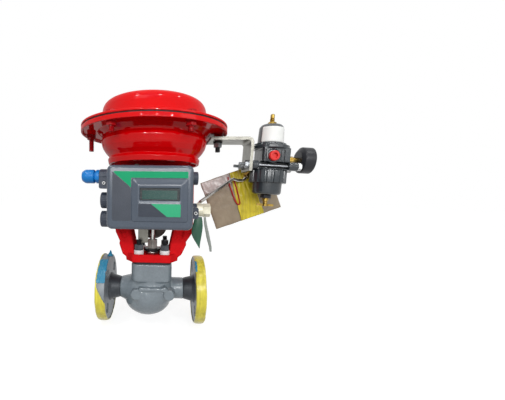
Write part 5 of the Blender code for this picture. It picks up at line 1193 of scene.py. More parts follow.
        film_piece(name, grid(40, 16, point), BLUE_TAPE, self.film_t, 1.0, sharp=50)

    def build_flap(self) -> None:
        """Stand a torn corner of blue tape up from the inlet rim, facing the front."""
        def point(t: float, s: float) -> Vector:
            """Place a point of the sheet.

            Args:
                t: Share of the length.
                s: Share of the height.

            Returns:
                The point.
            """
            height = 0.0135 * min(t / 0.62, (1 - t) / 0.38) + 0.0008
            lean = waver(0.0022, 4 * t, 3 * s, 8.0) - 0.004 * s
            return Vector((-0.0862 + 0.0115 * t, -0.010 + lean, self.flange_d / 2 - 0.0008 + height * s))

        film_piece("inlet_blue_flap", grid(12, 8, point), BLUE_TAPE, self.film_t, sharp=50)

    def build(self) -> None:
        """Build the body, the flanges and their tapes."""
        self.build_body()
        self.build_flange("inlet_flange", -1)
        self.build_flange("outlet_flange", 1)
        self.build_yellow_tape("inlet_yellow_tape", -1, 0.0157)
        self.build_yellow_tape("outlet_yellow_tape", 1, 0.0)
        self.build_blue_tape("inlet_blue_tape", -1, (23, 68), (0.0808, 0.0962))
        self.build_flap()
        self.build_blue_tape("outlet_blue_tape", 1, (46, 69), (0.0796, 0.0832))


@dataclass
class Bonnet:
    """Bonnet, packing follower and body studs between the casting and the yoke."""

    boss_d: float = 0.0305
    boss_z: tuple[float, float] = (0.0665, 0.0728)
    stud_x: float = 0.024
    stud_y: float = 0.025
    stud_d: float = 0.0095
    stud_end: float = 0.0085
    washer_d: float = 0.018
    washer_h: float = 0.0095
    nut_af: float = 0.0145
    nut_h: float = 0.0105
    follower_h: float = 0.0034
    packing_nut_af: float = 0.018

    def build_studs(self) -> None:
        """Build each stud with its thick washer, near-white with painted glare, its dark nut and the thread above."""
        for node, sx, sy in (("front_left", -1, -1), ("front_right", 1, -1), ("rear_left", -1, 1),
                             ("rear_right", 1, 1)):
            low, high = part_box("body_stud_" + node)
            nut_z = high.z - self.stud_end - self.nut_h
            stud = Fastener(axis_frame((sx * self.stud_x, sy * self.stud_y, 0)), self.stud_d)
            washer = stud.collar(self.washer_d, nut_z - self.washer_h, nut_z, 0.0012)
            piece("stud_" + node, stud.thread(low.z, high.z), BLACK_STEEL, "body_stud_" + node)
            # The washer's near-white colour is a painted glare over its zinc
            piece("stud_washer_" + node, washer, ZINC_WITH_PAINTED_GLARE)
            piece("stud_nut_" + node, stud.nut(self.nut_af, nut_z, nut_z + self.nut_h), DARK_ZINC)

    def build(self) -> None:
        """Build the studs, the polished boss ring, the follower's flange and the packing nut."""
        self.build_studs()
        axis = Fastener(axis_frame())
        piece("bonnet_boss_ring", axis.collar(self.boss_d, *self.boss_z, 0.0008), BRIGHT_STEEL)
        low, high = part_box("packing_follower")
        follower = axis.collar(high.x - low.x, high.z - self.follower_h, high.z, 0.0006)
        piece("follower_flange", follower, BLACK_STEEL, "packing_follower")
        low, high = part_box("packing_nut")
        piece("gland_nut", axis.nut(self.packing_nut_af, low.z, high.z, False), PACKING_STEEL, "packing_nut")
        dressed("bonnet", BLACK_STEEL)


@dataclass
class Actuator:
    """Spring-and-diaphragm actuator: pressed casings bolted at the rim, on a cast yoke."""

    radius: float = 0.135
    wall: float = 0.0034
    joint_z: float = 0.2983
    upper_z: float = 0.3005
    lip: float = 0.0074
    bowl_r: float = 0.0985
    skirt_r: float = 0.084
    floor_z: float = 0.2439
    skirt_drop: float = 0.007
    dome_r: float = 0.098
    dome_h: float = 0.0474
    dome_corner: float = 0.020
    crown: float = 0.002
    bolt_circle_r: float = 0.121
    bolt_d: float = 0.0094
    nut_af: float = 0.0145
    nut_h: float = 0.008
    head_h: float = 0.0052
    arm_drop: float = 0.0072
    arm_t: float = 0.0055
    pocket_z: tuple[float, float] = (0.1010, 0.2150)
    pocket_x: tuple[float, float] = (0.0470, 0.0655)
    pocket_y: float = -0.0235
    travel: float = 0.020

    def lower_profile(self) -> Profile:
        """Return the closed section of the lower casing.

        Returns:
            Its corners, with their radii.
        """
        under, floor = self.joint_z - self.wall, self.floor_z
        depth = under - floor
        bowl, skirt, r, inside = self.bowl_r, self.skirt_r, self.radius, self.skirt_r - self.wall
        return [(r, self.joint_z, 0.0012), (r, self.joint_z - self.lip, 0.0022),
                (r - 0.0028, self.joint_z - self.lip, 0.001), (r - 0.0048, under, 0.001),
                (bowl + 0.0070, under, 0.004), (bowl - 0.0024, under - 0.0080, 0.005),
                (bowl + 0.0006, under - 0.34 * depth, 0.012), (bowl - 0.002, under - 0.56 * depth, 0.02),
                (bowl - 0.008, under - 0.74 * depth, 0.012), (skirt - 0.0002, floor + 0.0064, 0.0015),
                (skirt + 0.0026, floor + 0.0014, 0.004), (skirt + 0.0012, floor - self.skirt_drop, 0.0012),
                (inside, floor - self.skirt_drop, 0.0012), (inside, floor), (0.012, floor), (0.012, floor + self.wall),
                (inside, floor + self.wall, 0.004), (bowl - self.wall, under - 0.5 * depth, 0.02), (bowl, self.joint_z)]

    def upper_profile(self) -> Profile:
        """Return the section of the upper casing.

        Returns:
            Its corners, with their radii.
        """
        r, dome, top = self.radius, self.dome_r, self.upper_z + self.dome_h
        flange = self.upper_z + self.wall
        return [(0, top + self.crown), (0.55 * dome, top + 0.7 * self.crown, 0.03),
                (dome - 0.0015, top - 0.0005, self.dome_corner), (dome, flange, 0.006), (r, flange, 0.0014),
                (r, self.upper_z, 0.0010), (dome + 0.001, self.upper_z), (dome - self.wall, flange),
                (dome - self.wall - 0.002, top - self.wall, 0.014), (0, top - self.wall)]

    def build_bolt(self, name: str, angle: float) -> None:
        """Build one rim bolt with its head above and its nut and thread below.

        Args:
            name: End of the CAD node's name.
            angle: Its place on the bolt circle in radians.
        """
        low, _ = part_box("casing_bolt_" + name)
        head_z, under, across = self.upper_z + self.wall, self.joint_z - self.wall, self.nut_af
        bolt = Fastener(axis_frame(polar(self.bolt_circle_r, angle, 0)), self.bolt_d)
        head = joined(bolt.nut(across, head_z, head_z + self.head_h, False),
                      bolt.collar(across * 0.98, head_z - 0.0002, head_z + 0.0006, 0.0002))
        piece("bolt_head_" + name, head, BOLT_ENAMEL, "casing_bolt_" + name)
        holds_bracket = name == "right"
        piece("bolt_thread_" + name, bolt.thread(low.z, head_z), BLACK_STEEL if holds_bracket else BOLT_ENAMEL)
        if not holds_bracket:
            nut_z = under - 0.0016
            nut = joined(bolt.nut(across, nut_z - self.nut_h, under - 0.0014),
                         bolt.collar(across * 1.15, nut_z, under + 0.0001))
            piece("bolt_nut_" + name, nut, BOLT_ENAMEL)
            return
        arm_top = under - self.arm_drop
        arm_low = arm_top - self.arm_t
        piece("bolt_spacer_nut", bolt.nut(across, arm_top + GAP, under), BOLT_ENAMEL)
        washer = bolt.collar(across * 1.2, arm_low - 0.0024, arm_low - GAP, 0.0005)
        piece("bolt_bracket_washer", washer, BLACK_STEEL)
        nut_z = arm_low - 0.0022
        piece("bolt_bracket_nut", bolt.nut(across * 0.94, nut_z - self.nut_h, nut_z), ZINC)

    def build_yoke(self) -> None:
        """Draw the yoke's left leg in a little, melt it, press the pockets of its legs in, and melt it again."""
        mesh = copy_of("yoke")
        for vertex in mesh.vertices:
            x, _, z = vertex.co
            if x < -0.045 and 0.075 < z < 0.215:
                vertex.co.x += 0.0075 * math.sin(math.pi * (z - 0.075) / 0.14) ** 0.6 * (-x - 0.045) / 0.03
        yoke = cast_form("yoke_rough", mesh, 0.0014, 1)
        low, high = self.pocket_z
        inner, outer = self.pocket_x
        for vertex in yoke.vertices:
            x, y, z = vertex.co
            if low < z < high and inner < abs(x) < min(outer, 0.0555 + 0.29 * (z - low)) and y < self.pocket_y:
                vertex.co.y = self.pocket_y
        yoke = cast_form("yoke_casting", yoke, 0.0014, 3, 0.0003, 0.009)
        piece("yoke_casting", yoke, YOKE_PAINT, "yoke", sharp=60)

    def build_springs(self) -> None:
        """Copy the springs."""
        springs = piece("actuator_springs", copy_of("spring_pack"), SPRING_STEEL, "spring_pack")
        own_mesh(springs)

    def build(self) -> None:
        """Build the casings, the bolts, the yoke and the springs, and give the CAD nodes that stay their finishes."""
        piece("lower_casing_pressing", Shell().turned(self.lower_profile(), None, 180, 6, ring=True), CASING_ENAMEL,
              "lower_casing", sharp=50)
        piece("upper_casing_pressing", Shell().turned(self.upper_profile(), None, 180, 10), CASING_ENAMEL,
              "upper_casing", sharp=50)
        for index, name in enumerate(("right", "rear_right", "rear_left", "left", "front_left", "front_right")):
            self.build_bolt(name, math.radians(60 * index))
        self.build_yoke()
        for node, finish in (("diaphragm", RUBBER), ("diaphragm_plate", ZINC), ("actuator_stem", BRIGHT_STEEL),
                             ("stem_bushing", BRASS), ("stem_connector", BLACK_STEEL),
                             # The anti-rotation plate's dark brown-grey is painted shade
                             ("anti_rotation_plate", PLATE_STEEL_IN_PAINTED_SHADE), ("feedback_plate", ROLLED_STEEL),
                             ("valve_plug", BRIGHT_STEEL), ("seat_ring", BRIGHT_STEEL), ("packing_set", GRAPHITE)):
            dressed(node, finish)
        self.build_springs()


@dataclass
class Positioner:
    """Digital positioner: die-cast housing and cover, display, plugs, gland and supply fitting."""

    centre: tuple[float, float] = (0.0008, 0.177)
    width: float = 0.1264
    height: float = 0.094
    front: float = -0.130
    back: float = -0.112
    corner: float = 0.008
    edge: float = 0.0052
    frame_centre: tuple[float, float] = (0.0154, 0.1734)
    frame_w: float = 0.0815
    frame_h: float = 0.063
    frame_rise: float = 0.003
    frame_bevel: float = 0.009
    window: tuple[float, float] = (0.0155, 0.1818)
    window_w: float = 0.0572
    window_h: float = 0.0177
    film_t: float = 0.0004

    def cover_loops(self) -> list[Loop]:
        """Return the cover's loops from its back edge to its front face.

        Returns:
            The loops.
        """
        steps = [(0.0006, self.back, self.corner - 0.0006), (0, self.back - 0.0006, self.corner),
                 (0, self.front + self.edge, self.corner)]
        for a in (math.radians(90 * k / 8) for k in range(1, 9)):
            inset = self.edge * (1 - math.cos(a))
            steps.append((inset, self.front + self.edge * (1 - math.sin(a)), max(self.corner - 0.7 * inset, 0.002)))
        return [rounded_rectangle(self.centre, self.width - 2 * inset, self.height - 2 * inset, corner, y)
                for inset, y, corner in steps]

    def frame_loops(self) -> list[Loop]:
        """Return the display frame's loops from its foot over its top to the window's wall.

        Returns:
            The loops.
        """
        front, top, slope = self.front, self.front - self.frame_rise, self.frame_bevel
        loops = [rounded_rectangle(self.frame_centre, self.frame_w - 2 * inset, self.frame_h - 2 * inset,
                                   0.0035 - 0.15 * inset, y)
                 for inset, y in ((-0.0004, front + 0.0006), (0, front - 0.0001), (0.0008, front - 0.0010),
                                  (0.5 * slope, front - 0.0019), (0.92 * slope, top + 0.0003), (slope, top))]
        return loops + [rounded_rectangle(self.window, self.window_w + 2 * grow, self.window_h + 2 * grow, 0.0012, y)
                        for grow, y in ((0.0012, top), (0.0005, top + 0.0003), (0, top + 0.0012), (0, front + 0.0034))]

    def build_cover(self) -> None:
        """Build the cover with its display frame and the display."""
        piece("cover_shell", Shell().loft(self.cover_loops()), POSITIONER_COAT, "positioner_cover", sharp=30)
        piece("display_frame", Shell().loft(self.frame_loops(), caps=False), POSITIONER_COAT, sharp=24)
        x, z = self.window
        level = self.front - 0.0006
        mask = [rounded_rectangle((x, z), self.window_w + 0.001, self.window_h + 0.001, 0.001, y)
                for y in (level + 0.0010, level)]
        piece("display_mask", Shell().loft(mask), DISPLAY_MASK)
        glass = [rounded_rectangle((x, z - 0.0008), self.window_w - 0.0070, self.window_h - 0.0050, 0.0006, y)
                 for y in (level, level - 0.0004)]
        piece("display_glass", Shell().loft(glass), DISPLAY)

    def build_films(self) -> None:
        """Stick on the bare films: green stripe, dark panel and the plate below the display."""
        left, right, top = -0.0535, 0.0559, 0.2145
        stripe, panel, foot, corner_z = 0.2053, -0.0262, 0.1430, 0.1912
        plate_l, plate_r, plate_low, plate_high = -0.0148, 0.0456, 0.1496, 0.1680
        high_x, low_x = 0.0030, 0.0262
        face, raised = self.front, self.front - self.frame_rise
        films = {
            "green_stripe_film": (GREEN_VINYL, face, [
                (left, top, 0.0016), (panel, corner_z, 0.0004), (panel, stripe, 0.0003), (right, stripe, 0.0012),
                (right, top, 0.0012)]),
            "dark_panel_film": (DARK_VINYL, face, [
                (left, top - 0.0004, 0.0004), (left, foot, 0.0022), (panel, foot, 0.0022),
                (panel, corner_z - 0.0004, 0.0004)]),
            "plate_dark_half": (PLATE_DARK, raised, [
                (plate_l, plate_high, 0.0008), (plate_l, plate_low, 0.0008), (low_x, plate_low),
                (high_x, plate_high)]),
            "plate_green_half": (PLATE_GREEN, raised, [
                (high_x + 0.0002, plate_high), (low_x + 0.0002, plate_low), (plate_r, plate_low, 0.0008),
                (plate_r, plate_high, 0.0008)])}
        for name, (finish, back, corners) in films.items():
            outline = rounded_line(corners, 4, ring=True)
            piece(name, flat_plate(outline, back + 0.0004, back - self.film_t, 0.0001), finish, sharp=30)

    def build_side_plugs(self) -> None:
        """Build the conduit plugs, the vent plug and the screws in the ears, each screw with a painted highlight ring.
        """
        for name, ribs in (("upper_conduit_plug", 24), ("lower_conduit_plug", 24), ("vent_plug", 20)):
            low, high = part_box(name)
            centre = (low + high) / 2
            out, start = (1, low.x) if centre.x > 0 else (-1, high.x)
            length, r = 0.9 * (high.x - low.x), (high.z - low.z) / 2
            section = [(0, 0), (r, 0, 0.0006), (r, length, 0.0016), (0.62 * r, length, 0.0004),
                       (0.58 * r, length - 0.002, 0.0006), (0, length - 0.002)]
            body = Shell().turned(section, axis_frame((start, centre.y, centre.z), (out, 0, 0)), 120, 4,
                                  reach=lambda a, n=ribs: grip_share(a, n, 0.022))
            piece(name + "_cap", body, PLUG_PLASTIC, name, sharp=45)
        for name, x, z in (("left", -0.0756, 0.199), ("right", 0.07233, 0.1526)):
            screw = Fastener(axis_frame((x, -0.0845, z), (0, -1, 0)))
            piece("ear_screw_" + name, screw.collar(0.0064, 0, 0.0048, 0.0006), BLACK_STEEL)
            section = [(0.0016, 0.0046), (0.0026, 0.0046), (0.0026, 0.0050), (0.0016, 0.0050)]
            # A pale ring laid where the screw's rim shows a highlight: a painted highlight
            piece("ear_screw_highlight_ring_" + name, Shell().turned(section, screw.place, 24, ring=True), ZINC_WITH_PAINTED_GLARE)

    def build_gland(self) -> None:
        """Build the cable gland: a hexagonal body, a groove and a domed nut."""
        low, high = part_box("cable_gland")
        centre, r = (low + high) / 2, (high.z - low.z) / 2
        place = axis_frame((high.x, centre.y, centre.z), (-1, 0, 0))
        body = [(0, 0), (r, 0, 0.0006), (r, 0.0065, 0.001), (r - 0.0028, 0.0072, 0.0005),
                (r - 0.0028, 0.0095, 0.0005), (0, 0.0095)]
        dome = [(0, 0.0092), (r - 0.001, 0.0092, 0.0006), (r, 0.0105, 0.001), (r, 0.0250, 0.008),
                (r - 0.0034, 0.0305, 0.002), (0.0052, 0.0305, 0.0006), (0.0050, 0.0190), (0, 0.0190)]
        both = joined(Shell().turned(body, place, 96, 4, reach=lambda a: 0.93 * hexagon_share(a, 0.55)),
                      Shell().turned(dome, place, 96, 6, reach=lambda a: grip_share(a, 9, 0.012)))
        piece("blue_gland", both, BLUE_PLASTIC, "cable_gland", sharp=40)

    def build(self) -> None:
        """Build the cover, its films, the plugs and the gland, and finish the CAD nodes that stay."""
        self.build_cover()
        self.build_films()
        self.build_side_plugs()
        self.build_gland()
        dressed("display_window", WINDOW)
        dressed("positioner_housing", HOUSING_COAT, 0.0008)
        dressed("module_base", CIRCUIT)
        dressed("positioner_bracket", ROLLED_STEEL, 0.0004)
        dressed("supply_fitting", NICKEL, 0.0006)
        dressed("supply_tube", TUBE_STEEL)


@dataclass
class AirSet:
    """Filter regulator with its gauge and bracket, leaning a little in its own frame."""

    at: tuple[float, float, float] = (0.217, 0.0, 0.250)
    lean: float = math.radians(3.0)
    rim_top: float = 0.0245
    collar_d: float = 0.056
    bonnet_d: float = 0.0452
    bonnet_tip_d: float = 0.0428
    bonnet_top: float = 0.0643
    ring_d: float = 0.0652
    ring_top: float = -0.0213
    ring_low: float = -0.0438
    bowl_d: float = 0.0518
    bowl_low: float = -0.0653
    gauge_x: float = 0.057
    gauge_l: float = 0.0235
    gauge_d: float = 0.049
    gauge_y: float = 0.010
    gauge_z: float = 0.004
    dial_depth: float = 0.006
    bezel: float = 0.003
    body_right: float = 0.0285
    lug_y: float = 0.019
    lug_z: float = -0.013
    leg_x: float = -0.0428
    head_x: float = 0.0443

    def frame(self) -> Matrix:
        """Return the matrix of the air set's leaning frame."""
        return Matrix.Translation(self.at) @ Matrix.Rotation(self.lean, 4, "Y")

    def place(self, origin: Iterable[float] = (0, 0, 0), direction: Iterable[float] = (0, 0, 1)) -> Matrix:
        """Return the matrix of an axis in the air set's leaning frame."""
        return self.frame() @ axis_frame(origin, direction)

    def build_body(self) -> None:
        """Melt the body casting and cut the slots between its ribs."""
        slots = []
        for x, z, width, height, depth in (
                (0.0045, self.lug_z, 0.046, 0.0084, -0.0145), (-0.0165, 0.0045, 0.0024, 0.021, -0.0250),
                (0.0105, 0.0045, 0.0024, 0.021, -0.0250), (0.0165, 0.0045, 0.0030, 0.021, -0.0240),
                (-0.0230, 0.0045, 0.0070, 0.020, -0.0180)):
            slot = Shell().loft([rounded_rectangle((x, z), width, height, 0.0008, y) for y in (-0.03, depth)])
            slots.append(Shell([self.frame() @ p for p in slot.points], slot.faces))
        cast = cast_form("regulator_casting", copy_of("regulator_body"), 0.00085, 2)
        piece("regulator_casting", cut_away("regulator_casting", cast, slots), AIR_SET_COAT, "regulator_body", sharp=50)

    def build_regulator(self) -> None:
        """Build the bonnet with its bare label, the ring and the bowl."""
        low, top, r, tip = self.rim_top + GAP, self.bonnet_top, self.bonnet_d / 2, self.bonnet_tip_d / 2
        rim, ring_r, bowl_r, ring_low = self.collar_d / 2, self.ring_d / 2, self.bowl_d / 2, self.ring_low
        collar = [(0, low), (rim, low, 0.0006), (rim, low + 0.0036, 0.0010), (0, low + 0.0036)]
        cup = [(0, low + 0.003), (r, low + 0.003), (r, low + 0.010, 0.004), (tip, top - 0.006, 0.005),
               (tip - 0.0035, top - 0.0012, 0.004), (tip - 0.010, top, 0.004), (0.0046, top, 0.0004),
               (0.0046, top - 0.004), (0, top - 0.004)]
        ring = [(0, ring_low), (ring_r, ring_low, 0.0012), (ring_r, self.ring_top, 0.0012), (0, self.ring_top)]
        bowl = [(0, ring_low + 0.002), (bowl_r, ring_low + 0.002), (bowl_r - 0.0006, self.bowl_low, 0.006),
                (0.008, self.bowl_low), (0, self.bowl_low)]
        place = self.place()
        piece("bonnet_collar", Shell().turned(collar, place, 160, 3, reach=self.notches), AIR_SET_COAT,
              "regulator_bonnet")
        piece("bonnet_cup", Shell().turned(cup, place, 120, 6), BONNET_METAL)
        self.build_label(r, tip, low + 0.0046, top - 0.0070)
        piece("bowl_nut", Shell().turned(ring, place, 216, 4, reach=self.teeth), AIR_SET_COAT, "bowl_ring", sharp=30)
        piece("bowl_cup", Shell().turned(bowl, place, 120, 8), AIR_SET_COAT, "regulator_bowl")

    @staticmethod
    def notches(angle: float) -> float:
        """Share of the bonnet collar's radius at an angle, for its ten notches."""
        return 1.0 - 0.05 * (math.sin(10 * angle) > 0.55)

    @staticmethod
    def teeth(angle: float) -> float:
        """Share of the bowl ring's radius at an angle, for its eighteen grip ribs."""
        return 1.0 - 0.055 / (1 + math.exp(-14 * (math.sin(18 * angle) - 0.35)))

    def build_label(self, r: float, tip: float, low: float, high: float) -> None:
        """Stick a bare white label on the front of the bonnet.

        Args:
            r: Radius of the cup at its foot.
            tip: Radius of the cup at its top.
            low: Lower edge in the leaning frame.
            high: Upper edge in the leaning frame.
        """
        foot, end = self.rim_top + 0.0103, self.bonnet_top - 0.006

        def point(t: float, s: float) -> Vector:
            """Place a point of the sheet.

            Args:
                t: Share of the height.
                s: Share of the way round.

            Returns:
                The point.
            """
            z, a = low + (high - low) * t, math.radians(-153 + 115 * s)
            radius = r + (tip - r) * max(0.0, z - foot) / (end - foot) + 0.0004
            return self.frame() @ polar(radius, a, z)

        film_piece("bonnet_label", grid(12, 36, point), LABEL_PAPER, 0.0003)

    def build_screws(self) -> None:
        """Build the adjusting screw, its locknut, the drain and the through bolts."""
        top, low, place = self.bonnet_top, self.bowl_low, self.place()
        screw = Fastener(place, 0.0082, 0.0011)
        tip = [(0, top + 0.0115), (0.0030, top + 0.0115), (0.0037, top + 0.013, 0.0005),
               (0.0037, top + 0.0188, 0.0006), (0.0026, top + 0.020, 0.0006), (0, top + 0.020)]
        piece("pressure_screw", joined(screw.thread(top - 0.012, top + 0.0118), Shell().turned(tip, place, 48, 3)),
              BRASS, "adjusting_screw", Body.SCREW)
        piece("locknut", screw.nut(0.0135, top + GAP, top + GAP + 0.0045), BRASS, "adjusting_locknut")
        grip = [(0, low - GAP), (0.0095, low - GAP, 0.0008), (0.0095, low - 0.0069, 0.0008), (0, low - 0.0069)]
        piece("drain_grip", Shell().turned(grip, place, 96, 3, reach=lambda a: 1 - 0.04 * max(0.0, math.sin(12 * a))),
              BLACK_PLASTIC, "drain_collar")
        for side, name in ((-1, "front"), (1, "rear")):
            bolt = Fastener(self.place((0, side * self.lug_y, self.lug_z), (1, 0, 0)), 0.006, 0.001)
            leg, right = self.leg_x, self.head_x
            shaft = joined(bolt.collar(0.0058, leg - 0.004, right + 0.001, 0.0002), bolt.thread(-0.060, leg - 0.0035),
                           bolt.collar(0.0144, leg - 0.0014, leg - 0.0002, 0.0003),
                           bolt.nut(0.012, leg - 0.0072, leg - 0.0014))
            piece("through_bolt_shaft_" + name, shaft, ZINC, "through_bolt_" + name)
            # The head's near-white colour is a painted glare over its zinc
            piece("through_bolt_head_" + name, bolt.nut(0.012, right, right + 0.0058, False), ZINC_WITH_PAINTED_GLARE)

    def build_gauge(self) -> None:
        """Build the gauge: brass stem, black case, dial with its ticks and numbers, and lens."""
        place = self.place((self.gauge_x, self.gauge_y, self.gauge_z), (1, 0, 0))
        r, face, window = self.gauge_d / 2, self.gauge_l, self.gauge_d / 2 - self.bezel
        floor = face - self.dial_depth
        case = [(0, 0), (0.0175, 0, 0.002), (r, 0.0052, 0.003), (r, face, 0.0014), (window, face, 0.0008),
                (window, floor), (0, floor)]
        piece("gauge_case", Shell().turned(case, place, 120, 5), BLACK_PLASTIC, "pressure_gauge")
        start = self.body_right + GAP - self.gauge_x
        stem = Fastener(place)
        piece("gauge_stem", joined(stem.collar(0.0094, start, 0.002, 0.0005),
                                   stem.nut(0.0112, start + 0.006, start + 0.019)), BRASS)
        dial = self.gauge_x + floor
        plate = rod(self.place((dial, self.gauge_y, self.gauge_z), (1, 0, 0)), 2 * (window - 0.0003), 0.0002, 96)
        piece("gauge_dial", plate, DIAL_PAINT)
        self.build_scale(dial + 0.00035)
        lens = Shell().turned([(0, 0), (window - 0.0002, 0), (window - 0.0002, 0.0008), (0, 0.0009)],
                              self.place((dial + 0.0046, self.gauge_y, self.gauge_z), (1, 0, 0)), 96)
        piece("gauge_lens", lens, WINDOW)

    def dial_point(self, x: float, radius: float, angle: float) -> Vector:
        """Return a point on the dial.

        Args:
            x: Level in the leaning frame.
            radius: Distance from the middle of the dial.
            angle: Angle in degrees anticlockwise from +Y, as seen from +X.

        Returns:
            The point in the row frame.
        """
        a = math.radians(angle)
        local = Vector((x, self.gauge_y + radius * math.cos(a), self.gauge_z + radius * math.sin(a)))
        return self.frame() @ local

    def build_scale(self, x: float) -> None:
        """Draw the scale: a tick every step and a number at every fifth, over 270 degrees.

        Args:
            x: Level of the ink in the leaning frame.
        """
        ink = Shell()
        for i in range(31):
            angle, outer = 225 - 9 * i, 0.0188
            inner, half = (0.0148, 0.9) if i % 5 == 0 else (0.0166, 0.5)
            ink.faces.append(tuple(len(ink.points) + k for k in range(4)))
            ink.points += [self.dial_point(x, radius, angle + turn) for radius, turn in (
                (inner, -half), (outer, -half * 0.8), (outer, half * 0.8), (inner, half))]
        piece("gauge_ticks", ink, DIAL_INK)
        upright = Matrix.Rotation(math.pi / 2, 4, "Z") @ Matrix.Rotation(math.pi / 2, 4, "X")
        for i in range(7):
            name = f"dial_number_{20 * i}"
            text = bpy.data.curves.new(name, "FONT")
            text.body = str(20 * i)
            text.size = 0.0046
            text.align_x = text.align_y = "CENTER"
            text.extrude = 0.00005
            mesh = evaluated(loose(name, text), name)
            centre = self.dial_point(x, 0.0118, 225 - 45 * i)
            mesh.transform(Matrix.Translation(centre) @ Matrix.Rotation(self.lean, 4, "Y") @ upright)
            piece(name, mesh, DIAL_INK)

    def build(self) -> None:
        """Build the regulator, its screws and its gauge, and finish the CAD nodes that stay."""
        self.build_body()
        self.build_regulator()
        self.build_screws()
        self.build_gauge()
        for node, finish, *soft in (("gauge_pointer", DIAL_INK), ("regulator_bracket", ROLLED_STEEL, 0.0006, 60),
                                    ("range_spring", SPRING_STEEL), ("red_plug", RED_PLASTIC),
                                    ("drain_cock", BRASS, 0.0003), ("outlet_elbow", BRASS, 0.0005)):
            dressed(node, finish, *soft)


